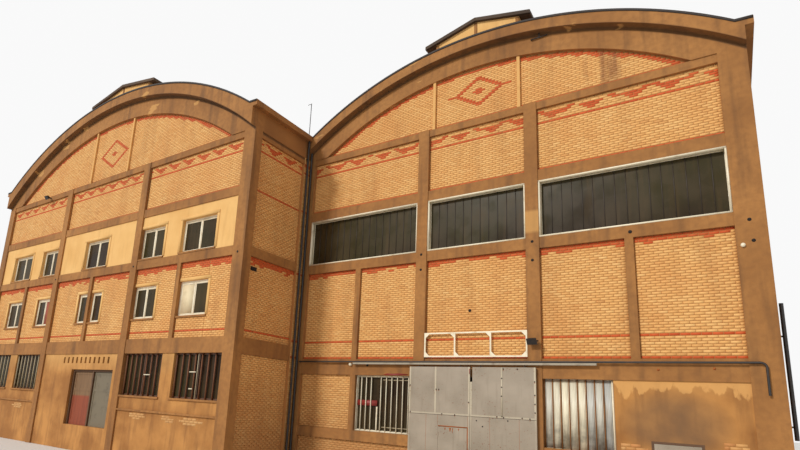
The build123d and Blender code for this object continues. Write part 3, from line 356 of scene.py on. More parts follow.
def dark_pane():
    """Old window glass in front of an unlit room: dark olive and brown, with a film of dust."""
    m, tree, coords = material("dusty_window_glass")
    dust = grain(tree, coords, 0.7, 5)
    large = grain(tree, coords, 3.5, 2)
    runs = grain(tree, coords, 0.14, 3, (1, 1, 14))
    colour = coat(tree, linear("#2C1F13"), linear("#39321C"), large, 0.4, 0.6)
    colour = coat(tree, colour, linear("#4A3A22"), dust, 0.4, 0.75, 0.5)
    colour = coat(tree, colour, linear("#5A4528"), runs, 0.5, 0.8, 0.4)
    roughness = add(tree, "MapRange", {0: dust, 1: 0.3, 2: 0.7, 3: 0.18, 4: 0.4})[0]
    return finish(m, colour, roughness, **{"IOR": 1.45, "Specular IOR Level": 0.14})


def ribbed_sheet():
    """Ribbed translucent sheeting in a window, lit from both sides: cream to bluish, each sheet with its
    own tone, streaked, dirty along its foot, with ribs 35 mm apart."""
    m, tree, coords = material("ribbed_translucent_sheet")
    _, _, z = add(tree, "SeparateXYZ", {0: coords})
    tone = add(tree, "Attribute", {}, attribute_name="tone")["Fac"]
    streaks = grain(tree, coords, 0.09, 5, (1, 1, 9))
    blotches = grain(tree, coords, 0.35, 5)
    colour = coat(tree, linear("#F6EBCB"), linear("#B8B9B4"), tone)
    colour = coat(tree, colour, linear("#A8916F"), streaks, 0.48, 0.72, 0.5)
    low = add(tree, "MapRange", {0: z, 1: 1.75, 2: 2.7, 3: 1, 4: 0})[0]
    dirty = add(tree, "MapRange", {0: blotches, 1: 0.35, 2: 0.6})[0]
    colour = coat(tree, colour, linear("#4E4438"), all_of(tree, low, dirty), share=0.8)
    ribs = add(tree, "TexWave", {"Vector": coords, "Scale": 9.0}, bands_direction="X")["Fac"]
    return finish(m, colour, 0.32, ribs, 0.008, 0.8)


def bitumen_felt():
    """Bitumen felt with slate grit: matt, dark, bleached in patches, in strips a metre wide over the
    crown whose laps are sealed with smooth bitumen. The upright flanks of the shells at the eaves are
    limewashed concrete."""
    m, tree, coords = material("slated_bitumen_felt")
    _, y, z = add(tree, "SeparateXYZ", {0: coords})
    large = grain(tree, coords, 2.0, 5)
    grit = grain(tree, coords, GRIT, 2)
    upward = add(tree, "SeparateXYZ", {0: add(tree, "NewGeometry", {})["Normal"]})[2]
    upright = add(tree, "Math", {0: upward, 1: 0.25}, operation="LESS_THAN")[0]
    at_eaves = add(tree, "Math", {0: z, 1: 13.45}, operation="LESS_THAN")[0]
    flank = all_of(tree, upright, at_eaves)
    on_top = add(tree, "Math", {0: 1.0, 1: flank}, operation="SUBTRACT")[0]
    in_strip = add(tree, "Math", {0: y}, operation="FRACT")[0]
    lap = all_of(tree, band(tree, in_strip, 0.03, 0.12, 0.01), on_top)
    colour = coat(tree, linear("#4B3A2C"), linear("#6A5440"), large, 0.35, 0.7)
    colour = coat(tree, colour, linear("#332820"), grit, 0.5, 0.8, 0.4)
    colour = coat(tree, colour, linear("#2A221C"), lap, share=0.7)
    washed = coat(tree, linear("#8A5B2D"), linear("#A16D38"), large, 0.35, 0.65)
    colour = coat(tree, colour, washed, flank)
    height = add(tree, "Math", {0: lap, 1: 0.6, 2: grit}, operation="MULTIPLY_ADD")[0]
    return finish(m, colour, 0.9, height, 0.004, 0.6)


def unit_cover():
    """The stove-enamelled case of the cooling unit, pale with some gloss, and its dark fan behind a
    grille of rings 31 mm apart, 0.46 m across, on its front."""
    m, tree, coords = material("enamelled_steel_case")
    x, y, z = add(tree, "SeparateXYZ", {0: coords})
    squares = square_reach(tree, (x, z), (-19.17, 6.09))
    reach = add(tree, "Math", {0: squares}, operation="SQRT")[0]
    turns = add(tree, "Math", {0: reach, 1: 32}, operation="MULTIPLY")[0]
    in_ring = add(tree, "Math", {0: turns}, operation="FRACT")[0]
    gaps = add(tree, "Math", {0: in_ring, 1: 0.35}, operation="GREATER_THAN")[0]
    inside = add(tree, "Math", {0: reach, 1: 0.23}, operation="LESS_THAN")[0]
    on_front = add(tree, "Math", {0: y, 1: -3.7}, operation="LESS_THAN")[0]
    fan = all_of(tree, inside, gaps, on_front)
    return finish(m, coat(tree, linear("#E6E0D2"), linear("#26241F"), fan), 0.4)


def frame_paint():
    """Oil paint on the window frames: cream white, but rust brown in the left hall's ground storey."""
    m, tree, coords = material("oil_paint_on_window_frames")
    x, _, z = add(tree, "SeparateXYZ", {0: coords})
    patches = grain(tree, coords, 0.3, 6)
    white = coat(tree, linear("#EFE3C8"), linear("#C4AB82"), patches, 0.5, 0.7, 0.5)
    brown = coat(tree, linear("#573620"), linear("#3A2415"), patches, 0.5, 0.7, 0.5)
    left = add(tree, "Math", {0: x, 1: 0.0}, operation="LESS_THAN")[0]
    low = add(tree, "Math", {0: z, 1: 4.1}, operation="LESS_THAN")[0]
    return finish(m, coat(tree, white, brown, all_of(tree, left, low)), 0.45)


def patched_boards():
    """A boarded leaf: its upper half is bare and grey brown, its lower half is painted red and has faded to
    orange."""
    m, tree, coords = material("half_painted_boards")
    _, _, z = add(tree, "SeparateXYZ", {0: coords})
    wood_grain = grain(tree, coords, 0.08, 5, (1, 1, 9))
    streaks = add(tree, "MapRange", {0: wood_grain, 1: 0.4, 2: 0.75, 4: 0.6})[0]
    bare = coat(tree, linear("#80603F"), linear("#5E4329"), streaks)
    red = coat(tree, linear("#8E4222"), linear("#6A2C15"), streaks)
    return finish(m, coat(tree, red, bare, z, 2.22, 2.3), 0.7, streaks, 0.003, 0.5)


CONCRETE = limewashed_concrete()
PLASTER = stained_plaster()
BRICKS = laid_brick()
BRICKWORK = bonded_brick()
DOOR = door_sheet()
PANE = dark_pane()
FELT = bitumen_felt()
SHEET = ribbed_sheet()

# Oil paint, yellowed with age: a warm white with a satin sheen, browner where it is worn
WHITE = painted("cream_white_oil_paint", "#EFE2C4", "#B89C72", 0.4)
# Black paint on rolled steel: nearly black, with brown where rust comes through
STEEL = painted("black_painted_steel", "#241E1A", "#4E3421", 0.5)
# Paint on boards and on timber: dull reds and browns that have soaked in
BOARDS = painted("red_brown_painted_boards", "#7C3520", "#4E2416", 0.6)
TIMBER = painted("weathered_painted_timber", "#5E4026", "#3C2817", 0.7)
# Glazing bars of rolled steel, from rusted through to grey white: all of them dull under dirt
BARS = painted("rusty_glazing_bars", "#744626", "#452816", 0.75)
THIN_BARS = painted("orange_brown_glazing_bars", "#96622F", "#65401F", 0.7)
DARK_BARS = painted("dark_glazing_bars", "#33271C", "#1F1812", 0.55)
PALE_BARS = painted("grey_white_glazing_bars", "#A89878", "#7A684C", 0.6)
# Rust that has run down a sheet: orange brown, powdery, in small patches
RUST = painted("bleeding_rust", "#A2561E", "#6A3514", 0.85, 0.05)
# The unlit depth of a hole
HOLE = painted("dark_drilled_hole", "#1C120B", "#120B07", 0.9)
# Tar brushed on sheet metal: brown black, dull
FLASHING = painted("tarred_edge_flashing", "#2B211A", "#44352A", 0.7)
# Linen and cotton behind glass: soft and without a sheen
BLIND = painted("drawn_linen_blind", "#E6D3AC", "#CDB88F", 0.85)
RED_BLIND = painted("faded_red_curtain", "#9A4A33", "#7A3524", 0.85)
# Enamelled strip: a deep red with a little gloss
RED_TAPE = painted("red_enamelled_strip", "#86251A", "#5E1A12", 0.5)
# Limewash on the ribs: the palest of the walls, chalky
RIBS = painted("pale_limewash_on_ribs", "#DDA863", "#C68F4C", 0.85)
# Paint greyed by dirt on the door's track, and weathered to grey green on the side leaf
TRACK = painted("dirty_white_paint_on_track", "#A39680", "#6B5540", 0.6)
DOOR_GREEN = painted("grey_green_door_paint", "#746852", "#504433", 0.6)

# Pieces whose finish differs from the others of their slot
OWN_FINISHES = {
    "cooling_unit": unit_cover(),
    "window_frames": frame_paint(),
    "lunette_ribs": RIBS,
    "door_track": TRACK,
    "gable_left_leaf": patched_boards(),
    "gable_right_leaf": DOOR_GREEN,
}

FINISHES = {
    "concrete": CONCRETE,
    "brick": BRICKWORK,
    "plaster": PLASTER,
    "roofing": FELT,
    "white_paint": WHITE,
    "window_glass": PANE,
    "grey_steel": DOOR,
    "dark_steel": STEEL,
    "red_paint": BOARDS,
    "timber": TIMBER,
}
for part in frame["record"]["subparts"]:
    mesh = nodes[part["node"]].data
    mesh.materials.clear()
    mesh.materials.append(OWN_FINISHES.get(part["node"], FINISHES[part["material_slot"]]))


def at(face, along, inward, up):
    """Points of a wall: arrays of distances along it, into it and up give an array of places."""
    origin, forward, deep = face
    level = origin + along[..., None] * forward + inward[..., None] * deep
    return level + up[..., None] * np.array((0, 0, 1))


def new_piece(name, points, face_sets, surface, slot, body="building"):
    """A mesh object from its points and some arrays of faces, each with its own number of corners, riding
    on one body. The sum of the faces' signed volumes shows whether they all have to be turned to face
    outward."""
    volume = 0
    for faces in face_sets:
        first = points[faces[:, 0]]
        for i in range(1, faces.shape[1] - 1):
            volume += np.sum(first * np.cross(points[faces[:, i]], points[faces[:, i + 1]]))
    if volume < 0:
        face_sets = [faces[:, ::-1] for faces in face_sets]
    sizes = np.concatenate([np.full(len(faces), faces.shape[1]) for faces in face_sets])
    corners = np.concatenate([faces.ravel() for faces in face_sets])
    mesh = bpy.data.meshes.new(name)
    mesh.vertices.add(len(points))
    mesh.vertices.foreach_set("co", points.astype(np.float32).ravel())
    mesh.loops.add(len(corners))
    mesh.loops.foreach_set("vertex_index", corners.astype(np.int32))
    mesh.polygons.add(len(sizes))
    mesh.polygons.foreach_set("loop_start", (np.cumsum(sizes) - sizes).astype(np.int32))
    mesh.update(calc_edges=True)
    mesh.validate()
    mesh.materials.append(surface)
    piece = bpy.data.objects.new(name, mesh)
    bpy.context.scene.collection.objects.link(piece)
    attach(piece, body)
    return piece


def tone_faces(piece, key, values):
    """Stores one value for each box of a piece on its six faces."""
    layer = piece.data.attributes.new(key, "FLOAT", "FACE")
    layer.data.foreach_set("value", np.repeat(np.asarray(values, np.float32), len(BOX_QUADS)))


# The six quads of a box whose corners are numbered 0..3 in front, counter-clockwise, and 4..7 behind them
BOX_QUADS = np.array(((0, 1, 2, 3), (5, 4, 7, 6), (4, 5, 1, 0), (1, 5, 6, 2), (2, 6, 7, 3), (4, 0, 3, 7)))


def blocks(name, face, spans, surface, slot, body="building", inset=0.0):
    """Many boxes at once. Each row of spans is along from, to, inwards from, to, up from, to; the front
    face of each is smaller by the inset, so its edges are bevelled."""
    a0, a1, d0, d1, z0, z1 = np.asarray(spans, float).T
    along = np.stack((a0 + inset, a1 - inset, a1 - inset, a0 + inset, a0, a1, a1, a0), 1)
    inward = np.stack((d0, d0, d0, d0, d1, d1, d1, d1), 1)
    up = np.stack((z0 + inset, z0 + inset, z1 - inset, z1 - inset, z0, z0, z1, z1), 1)
    points = at(face, along, inward, up).reshape(-1, 3)
    quads = BOX_QUADS[None] + 8 * np.arange(len(a0))[:, None, None]
    return new_piece(name, points, [quads.reshape(-1, 4)], surface, slot, body)


def plates(name, face, outlines, inward, surface, slot, body="building"):
    """Flat plates of one outline count on a wall: each outline is a ring of points along and up."""
    outlines = np.asarray(outlines, float)
    count, sides = outlines.shape[:2]
    along = np.concatenate((outlines[..., 0], outlines[..., 0]), 1)
    up = np.concatenate((outlines[..., 1], outlines[..., 1]), 1)
    deep = np.repeat(inward, sides)[None].repeat(count, 0)
    points = at(face, along, deep, up).reshape(-1, 3)
    base = 2 * sides * np.arange(count)[:, None]
    ring = np.arange(sides)
    after = (ring + 1) % sides
    edge = np.stack((ring, after, after + sides, ring + sides), 1)
    caps = np.concatenate((base + ring[::-1], base + sides + ring))
    return new_piece(name, points, [(base[..., None] + edge).reshape(-1, 4), caps], surface, slot, body)


def discs(name, face, places, radius, inward, surface, slot, body="building"):
    """Round heads or holes of one radius, with twelve sides, at places along and up."""
    turn = np.arange(12) / 12 * 2 * math.pi
    ring = radius * np.stack((np.cos(turn), np.sin(turn)), 1)
    return plates(name, face, np.asarray(places, float)[:, None] + ring, inward, surface, slot, body)


def runs_below(name, face, marks, inward, body):
    """Rust runs: each mark is a place, the half width of its head and the length that it tapers down."""
    shape = np.array(((-1, 0), (-0.25, -1), (0.25, -1), (1, 0), (0.7, 0.7), (-0.7, 0.7)))
    outlines = []
    for along, up, half, length in marks:
        ring = shape * half
        ring[1:3, 1] = -length
        outlines.append(ring + (along, up))
    return plates(name, face, outlines, inward, RUST, "dark_steel", body)


def courses(start, end, bottom, top, limits=None):
    """Bricks in half bond on a panel, as rows of along from, to, up from, to. Odd courses move by half a
    brick. The limits give the free span at a height, for a panel under an arch."""
    rows = max(1, round((top - bottom) / COURSE))
    pitch = (top - bottom) / rows
    columns = int((end - start) / BRICK_STEP) + 3
    k, i = np.mgrid[0:rows, 0:columns]
    a = start + (i - 1 + 0.5 * (k % 2)) * BRICK_STEP
    z = bottom + k * pitch
    low = np.full(a.shape, start)
    high = np.full(a.shape, end)
    if limits:
        left, right = limits(z + pitch)
        low = np.maximum(low, left)
        high = np.minimum(high, right)
    a0 = np.maximum(a + JOINT / 2, low + JOINT / 2)
    a1 = np.minimum(a + BRICK_LONG + JOINT / 2, high - JOINT / 2)
    shortest = 0.03
    return np.stack((a0, a1, z + JOINT / 2, z + pitch - JOINT / 2), -1)[a1 - a0 > shortest]


def middles(laid):
    """Middles of laid bricks, along and up."""
    return (laid[:, 0] + laid[:, 1]) / 2, (laid[:, 2] + laid[:, 3]) / 2


def zigzag(along, up, bottom, period):
    """1 on a stepped zigzag four courses high, one course thick, and in its lower pockets: the line's row
    is a triangle wave of the distance along, and the pockets are filled up to the course under the
    highest."""
    rows = 4
    row = np.floor((up - bottom) / COURSE)
    wave = np.abs(((along / period) % 1) * 2 - 1)
    line = np.round(np.clip(wave * 1.25 - 0.1, 0, 1) * (rows - 1))
    filled = (row > line) & (row < rows - 1)
    return ((row == line) | filled) & (up > bottom) & (up < bottom + rows * COURSE)


def lozenge(along, up, centre, pitch, steps, tail):
    """1 on the bricks of a lozenge and of the mark in its middle. From its two tips, which lie on one
    course, the outline steps inwards by half a brick a course. A tail adds one brick beyond each tip."""
    across = np.round(np.abs(along - centre[0]) / BRICK_STEP * 2)
    rows = np.round(np.abs(up - centre[1]) / pitch)
    ends = (rows == 0) & (across == steps + 2) & tail
    return (across + rows == steps) | (across + rows == 1) | ends


def upper_ornament(foot, period):
    """Ornament under the wall top: one red course from the foot height, a fine line, and a zigzag over it."""

    def ornament(along, up):
        """Red where the course, the line or the zigzag is."""
        course = (up > foot) & (up < foot + COURSE)
        fine_line = (up > 11.66) & (up < 11.66 + COURSE)
        return course | fine_line | zigzag(along, up, 11.80, period)

    return ornament


# One generator for every random draw, so that each run lays the same bricks
rng = np.random.default_rng(7)

# Where the red head course of the middle storeys starts
HEAD = 7.42


def storey_ornament(line, foot_top=0.0):
    """Ornament of the middle storey: a line of two courses, a red head course, and a red foot up to a
    height."""

    def ornament(along, up):
        """Red as above. The course below the head is red with gaps, and the third one has single red
        bricks."""
        draw = rng.random(up.shape)
        toothed = ((up > HEAD - COURSE) & (draw < 0.85)) | ((up > HEAD - 2 * COURSE) & (draw < 0.25))
        return ((up > line - 0.045) & (up < line + 0.05)) | (up > HEAD) | toothed | (up < foot_top)

    return ornament


def panels(spans, heights, ornament=None, limits=None):
    """Panels of one height: each is start, end, bottom, top, its limits and its ornament."""
    return [(a, b, *heights, limits, ornament) for a, b in spans]


def brickwork(name, face, walled):
    """Bricks on some panels of a wall, each 8 mm proud of its mortar bed, with a tone and a red share."""
    spans, red = [], []
    for start, end, bottom, top, limits, ornament in walled:
        laid = courses(start, end, bottom, top, limits)
        spans.append(laid)
        red.append(ornament(*middles(laid)) if ornament else np.zeros(len(laid), bool))
    spans = np.concatenate(spans)
    tone = np.clip(rng.normal(0.55, 0.15, len(spans)), 0, 1)
    front = np.full(len(spans), BRICK_FACE - 0.008)
    back = np.full(len(spans), BRICK_FACE + 0.004)
    boxes = np.stack((spans[:, 0], spans[:, 1], front, back, spans[:, 2], spans[:, 3]), 1)
    piece = blocks(name, face, boxes, BRICKS, "brick", inset=0.003)
    tone_faces(piece, "tone", tone)
    tone_faces(piece, "red", np.concatenate(red))


def under_arch(crown, half):
    """The free span under an arch that springs from the wall top, as a function of height, and the bricks
    that lie along the arch."""
    rise = crown - WALL_TOP
    radius = (half**2 + rise**2) / (2 * rise)

    def limits(up):
        """Half the chord at a height: the root of r squared less the height over the centre squared."""
        reach = np.sqrt(np.maximum(radius**2 - (up - crown + radius) ** 2, 0))
        return -reach, reach

    def border(along, up):
        """1 on the bricks that lie less than 0.16 m inside the arch."""
        return radius - np.hypot(along, up - crown + radius) < 0.16

    return limits, border


# Ribs of both lunettes: how far each stands from the middle, and its half width
RIB_X = 1.53
RIB_HALF = 0.05


def lunette_panels(crown, half, mark, steps, tail):
    """The three panels of a lunette, between its ribs, with a lozenge in the middle one. The mark gives a
    joint and the course of the lozenge's middle."""
    limits, border = under_arch(crown, half)
    pitch = (crown - WALL_TOP) / round((crown - WALL_TOP) / COURSE)
    centre = (mark[0], WALL_TOP + (mark[1] + 0.5) * pitch)

    def ornament(along, up):
        """Red along the arch, along the foot and on the lozenge."""
        return border(along, up) | (up < WALL_TOP + 0.07) | lozenge(along, up, centre, pitch, steps, tail)

    outer, inner = RIB_X + RIB_HALF, RIB_X - RIB_HALF
    return panels([(-half, -outer), (-inner, inner), (outer, half)], (WALL_TOP, crown), ornament, limits)


# Bays between the columns, brick panels and windows, from and to along their wall
RIGHT_BAYS = ((-6.895, -2.085), (-1.685, 1.685), (2.085, 6.895))
RIGHT_PANELS = ((-6.895, -4.615), (-4.395, -2.085), (-1.685, 1.685), (2.085, 4.395), (4.615, 6.895))
RIGHT_FOOT = ((-6.895, -2.085), (2.085, 4.735), (5.865, 6.895))
LEFT_BAYS = ((-9.195, -3.41), (-2.99, 2.99), (3.41, 9.195))
SIDE_BAYS = ((-9.6, -5.2), (-4.8, -0.2), (0.2, 4.8), (5.2, 9.6))
SECOND = ((-8.1, -6.1), (-5.0, -3.41), (-0.95, 0.95), (3.41, 5.0), (6.1, 8.1))
FIRST = ((-7.95, -6.31), (-4.85, -3.41), (-0.95, -0.15), (0.15, 0.95), (3.41, 4.85), (6.31, 7.95))
GROUND = ((-9.195, -6.55), (-5.85, -3.41), (3.41, 5.85), (6.55, 9.195))
LEFT_POSTS = (-6.2, 0.0, 6.2)
POST_HALF = 0.11

right_panels = panels(RIGHT_BAYS, RIGHT_UPPER, upper_ornament(RIGHT_UPPER[0], 1.06))
right_panels += panels(RIGHT_PANELS, RIGHT_STOREY, storey_ornament(4.80, RIGHT_STOREY[0] + COURSE))
right_panels += lunette_panels(14.4, 6.3, (0.13, 14), 7, True)
right_panels += panels(RIGHT_PANELS[:1], RIGHT_GROUND)
right_panels += panels(RIGHT_FOOT, (0.0, 1.32))
brickwork("right_front_bricks", RIGHT_FRONT, right_panels)

# On the left hall the middle storey's panels end at windows and posts. A gap under 50 mm stays mortar.
left_storey = storey_ornament(4.86)
left_panels = panels(LEFT_BAYS, LEFT_UPPER, upper_ornament(LEFT_UPPER[0], 0.92))
left_panels += lunette_panels(15.2, 8.5, (0.13, 16), 9, False)
for a, b in LEFT_BAYS:
    windows = [window for window in FIRST if a <= window[0] and window[1] <= b]
    posts = [(post - POST_HALF, post + POST_HALF) for post in LEFT_POSTS if a < post < b]
    start = a
    for stop in [*sorted(windows + posts), (b, b)]:
        if stop[0] - start > 0.05:
            left_panels += panels([(start, stop[0])], LEFT_STOREY, left_storey)
        if stop in windows:
            left_panels += panels([stop], (LEFT_STOREY[0], FIRST_LIGHTS[0]), left_storey)
            left_panels += panels([stop], (FIRST_LIGHTS[1], LEFT_STOREY[1]), left_storey)
        start = stop[1]
brickwork("left_front_bricks", LEFT_FRONT, left_panels)

# The return wall: its tall upper panel carries the foot course of its neighbours across
return_bay = [(-2.94, -0.4)]
return_panels = panels(return_bay, (7.9, LEFT_UPPER[1]), upper_ornament(RIGHT_UPPER[0], 0.85))
return_panels += panels(return_bay, LEFT_STOREY, left_storey)
return_panels += panels(return_bay, (0.0, LEFT_GROUND[1]))
brickwork("return_wall_bricks", RETURN, return_panels)


def rods(name, face, places, surface, slot, width, inward, up):
    """Upright bars of one width at places along a wall, between two depths and two heights."""
    spans = [(p - width / 2, p + width / 2, *inward, *up) for p in places]
    blocks(name, face, spans, surface, slot, inset=width * 0.15)


# Ribbon windows: fine upright bars every 0.3 m in front of the panes, on all sides of the right hall, and
# white sheet lining 50 mm wide in the reveals, which shows as a line round each of them
FRAME = 0.06
LINING = 0.05
RIBBON_WALLS = (
    ("front", RIGHT_FRONT, RIGHT_BAYS),
    ("side", RIGHT_SIDE, SIDE_BAYS),
    ("rear", RIGHT_REAR, RIGHT_BAYS),
)
reveal = (BEAM_FACE - 0.002, FRAME_FACE)
foot, head = RIBBON[0] + LINING, RIBBON[1] - LINING
for name, face, bays in RIBBON_WALLS:
    places, spans = [], []
    for a, b in bays:
        places += np.linspace(a + FRAME, b - FRAME, round((b - a) / 0.3) + 1)[1:-1].tolist()
        spans += [(a, b, *reveal, RIBBON[0], foot), (a, b, *reveal, head, RIBBON[1])]
        spans += [(a, a + LINING, *reveal, foot, head), (b - LINING, b, *reveal, foot, head)]
    in_frame = (RIBBON[0] + FRAME, RIBBON[1] - FRAME)
    rods(f"ribbon_bars_{name}", face, places, DARK_BARS, "window_glass", 0.02, (0.197, GLASS_FACE), in_frame)
    blocks(f"ribbon_lining_{name}", face, spans, WHITE, "white_paint", inset=0.003)

# Barred window: white bars in front of the frame, a pale sash, and a red strip behind the bars on its left
GRILLE = (0.125, 0.155)
places = [-4.365, -4.17, -3.97, -3.765, -3.37, -3.16, -2.945, -2.73, -2.515, -2.3, -2.115]
rods("window_bars", RIGHT_FRONT, places, WHITE, "white_paint", 0.027, GRILLE, RIGHT_GROUND)
edge_rails = [(*RIGHT_PANELS[1], 0.13, 0.16, z, z + 0.045) for z in (1.67, 3.535)]
blocks("barred_window_rails", RIGHT_FRONT, edge_rails, WHITE, "white_paint", inset=0.004)
rods("barred_window_post", RIGHT_FRONT, [-3.53], WHITE, "white_paint", 0.06, (0.16, 0.188), (1.73, 2.52))
blocks("barred_window_strip", RIGHT_FRONT, [(-4.33, -3.52, 0.165, 0.18, 2.54, 2.73)], RED_TAPE, "red_paint")
inner_rails = [(-3.33, -2.145, 0.195, 0.21, z, z + 0.03) for z in (1.83, 3.42)]
blocks("barred_window_sash", RIGHT_FRONT, inner_rails, PALE_BARS, "white_paint")

# Windows of the right hall's ground storey, on its side and rear: the same bars
for name, face, bays in RIBBON_WALLS[1:]:
    places = np.concatenate([(a + b) / 2 + np.linspace(-1.07, 1.07, 11) for a, b in bays])
    rods(f"ground_bars_{name}", face, places, WHITE, "white_paint", 0.032, GRILLE, RIGHT_GROUND)

# Strip window: eight ribbed sheets between rusty bars, each with its own tone
BARS_DEPTH = (0.13, 0.185)
places = np.linspace(2.11, 3.885, 9)
rods("strip_bars", RIGHT_FRONT, places[:-1], THIN_BARS, "timber", 0.026, BARS_DEPTH, RIGHT_GROUND)
rods("strip_edge", RIGHT_FRONT, places[-1:], WHITE, "white_paint", 0.06, BARS_DEPTH, RIGHT_GROUND)
spans = [(a + 0.013, b - 0.013, 0.165, 0.18, 1.69, 3.56) for a, b in zip(places[:-1], places[1:])]
sheets = blocks("strip_sheets", RIGHT_FRONT, spans, SHEET, "window_glass")
tone_faces(sheets, "tone", (0.55, 0.15, 0.0, 0.2, 0.05, 0.75, 0.6, 0.9))


def sashes(name, face, windows):
    """White sashes 40 mm wide, 70 mm at the head, round each light of some windows: start, end, bottom
    and top. A window over 1.2 m wide has two lights."""
    side, top_rail, depth = 0.04, 0.07, (0.2, GLASS_FACE)
    spans = []
    for a, b, low, high in windows:
        stops = [a + FRAME, b - FRAME]
        if b - a > 1.2:
            stops = [a + FRAME, (a + b) / 2 - 0.025, (a + b) / 2 + 0.025, b - FRAME]
        bottom, top = low + FRAME, high - FRAME
        for left, right in zip(stops[::2], stops[1::2]):
            spans += [
                (left, left + side, *depth, bottom, top),
                (right - side, right, *depth, bottom, top),
                (left + side, right - side, *depth, bottom, bottom + side),
                (left + side, right - side, *depth, top - top_rail, top),
            ]
    blocks(name, face, spans, WHITE, "white_paint", inset=0.004)


def surrounds(name, face, windows, surface, edges):
    """Raised plaster bands 0.13 m wide beside and over some windows, left out at a side where a column or
    post stands."""
    wide = 0.13
    depth = (surface - 0.022, surface + 0.004)
    spans = []
    for a, b, low, high in windows:
        left = wide if min(abs(a - edge) for edge in edges) > wide + 0.01 else 0
        right = wide if min(abs(b - edge) for edge in edges) > wide + 0.01 else 0
        spans.append((a - left, b + right, *depth, high, high + wide))
        if left:
            spans.append((a - left, a, *depth, low, high))
        if right:
            spans.append((b, b + right, *depth, low, high))
    blocks(name, face, spans, PLASTER, "plaster", inset=0.004)


# Windows of the left hall, the same on its front and rear: sashes and bands upstairs, and on the ground
# storey rusty bars, with pale ones in the far windows
second_floor = [(a, b, *SECOND_LIGHTS) for a, b in SECOND]
first_floor = [(a, b, *FIRST_LIGHTS) for a, b in FIRST]
bay_edges = [edge for bay in LEFT_BAYS for edge in bay]
post_edges = bay_edges + [post + way * POST_HALF for post in LEFT_POSTS for way in (-1, 1)]
rusty = np.concatenate([np.linspace(a + 0.09, b - 0.09, 8) for a, b in GROUND[2:]])
pale = np.concatenate([np.linspace(a + 0.05, b - 0.05, 8) for a, b in GROUND[:2]])
for name, face in (("front", LEFT_FRONT), ("rear", LEFT_REAR)):
    sashes(f"upper_sashes_{name}", face, second_floor + first_floor)
    surrounds(f"second_floor_surrounds_{name}", face, second_floor, PLASTER_FACE, bay_edges)
    surrounds(f"first_floor_surrounds_{name}", face, first_floor, BRICK_FACE - 0.006, post_edges)
    rods(f"ground_bars_{name}", face, rusty, BARS, "timber", 0.05, BARS_DEPTH, LEFT_GROUND)
    rods(f"far_ground_bars_{name}", face, pale, PALE_BARS, "white_paint", 0.05, BARS_DEPTH, LEFT_GROUND)

# Its left side has five windows a storey. The outer ones stand a little nearer to the middle.
side_middles = [-11.67 + 4.668 * (i + 0.5) for i in range(5)]
side_middles[0] += 0.095
side_middles[-1] -= 0.095
side_upper = [(m - 0.95, m + 0.95, *lights) for m in side_middles for lights in (SECOND_LIGHTS, FIRST_LIGHTS)]
sashes("upper_sashes_side", LEFT_SIDE, side_upper)
side_bars = np.concatenate([np.linspace(m - 1.34, m + 1.34, 9) for m in side_middles])
rods("ground_bars_left_side", LEFT_SIDE, side_bars, BARS, "timber", 0.05, BARS_DEPTH, LEFT_GROUND)

# Pale edges and short white crossings in the near ground windows, a drawn blind and a red curtain upstairs
edges = [5.826, 7.87, 9.171]
rods("ground_window_edges", LEFT_FRONT, edges, PALE_BARS, "white_paint", 0.04, (0.12, 0.13), LEFT_GROUND)
crossings = [(4.75, 5.15, 3.2), (7.45, 7.8, 3.34), (7.5, 7.7, 2.74)]
spans = [(a, b, 0.118, 0.13, z, z + 0.035) for a, b, z in crossings]
blocks("ground_window_crossings", LEFT_FRONT, spans, WHITE, "white_paint")
blocks("drawn_blind", LEFT_FRONT, [(6.41, 7.065, 0.2105, 0.2135, 5.55, 6.67)], BLIND, "white_paint")
blocks("red_curtain", LEFT_FRONT, [(-4.065, -3.51, 0.2105, 0.2135, 5.55, 6.67)], RED_BLIND, "red_paint")

# Drilled holes and a bolt or two: on the columns, on beams and in the brick, and white insulators. The holes
# and the return wall's vent are dark discs and a dark block on the face, painted shade that stands in for
# their depth.
ON_COLUMN = (-0.003, 0.003)
right_holes = [(-1.885, 7.74), (-1.885, 7.2), (1.885, 7.72), (1.885, 7.13), (7.2, 7.6), (7.24, 7.05)]
left_holes = [(9.45, 7.62), (3.2, 7.7), (-3.2, 7.7)]
discs("column_holes", RIGHT_FRONT, right_holes, 0.045, ON_COLUMN, HOLE, "dark_steel")
discs("left_column_holes", LEFT_FRONT, left_holes, 0.045, ON_COLUMN, HOLE, "dark_steel")
discs("mullion_hole", RIGHT_FRONT, [(4.55, 7.66), (-3.9, 3.93)], 0.05, (0.026, 0.033), HOLE, "dark_steel")
discs("brick_hole", RIGHT_FRONT, [(-0.15, 5.7)], 0.05, (0.108, 0.125), HOLE, "dark_steel")
discs("insulators", RIGHT_FRONT, [(7.02, 6.95), (-4.6, 3.95)], 0.05, (-0.05, 0.031), WHITE, "white_paint")
discs("sill_beam_bolt", RIGHT_FRONT, [(6.2, 3.9), (5.0, 3.86)], 0.03, (0.015, 0.035), RUST, "dark_steel")
blocks("return_vent", RETURN, [(-2.8, -2.5, 0.1, 0.125, 7.05, 7.2)], HOLE, "dark_steel")

# A smear of red paint on the beam over the barred window
smear = [(-3.25, 3.6), (-2.9, 3.588), (-2.32, 3.6), (-2.25, 3.632)]
smear += [(-2.62, 3.66), (-2.85, 3.645), (-3.1, 3.65)]
plates("red_smear", RIGHT_FRONT, [smear], (0.0275, 0.033), RED_TAPE, "red_paint")

# An empty lamp bracket on the right hall's arch, right of its crown
bracket = [(2.24, 2.27, -0.06, -0.03, 14.7, 14.92), (1.98, 2.52, -0.06, -0.03, 14.67, 14.7)]
bracket += [(2.24, 2.27, -0.031, 0.005, 14.74, 14.77), (2.0, 2.03, -0.031, 0.005, 14.67, 14.7)]
blocks("arch_bracket", RIGHT_FRONT, bracket, STEEL, "dark_steel")


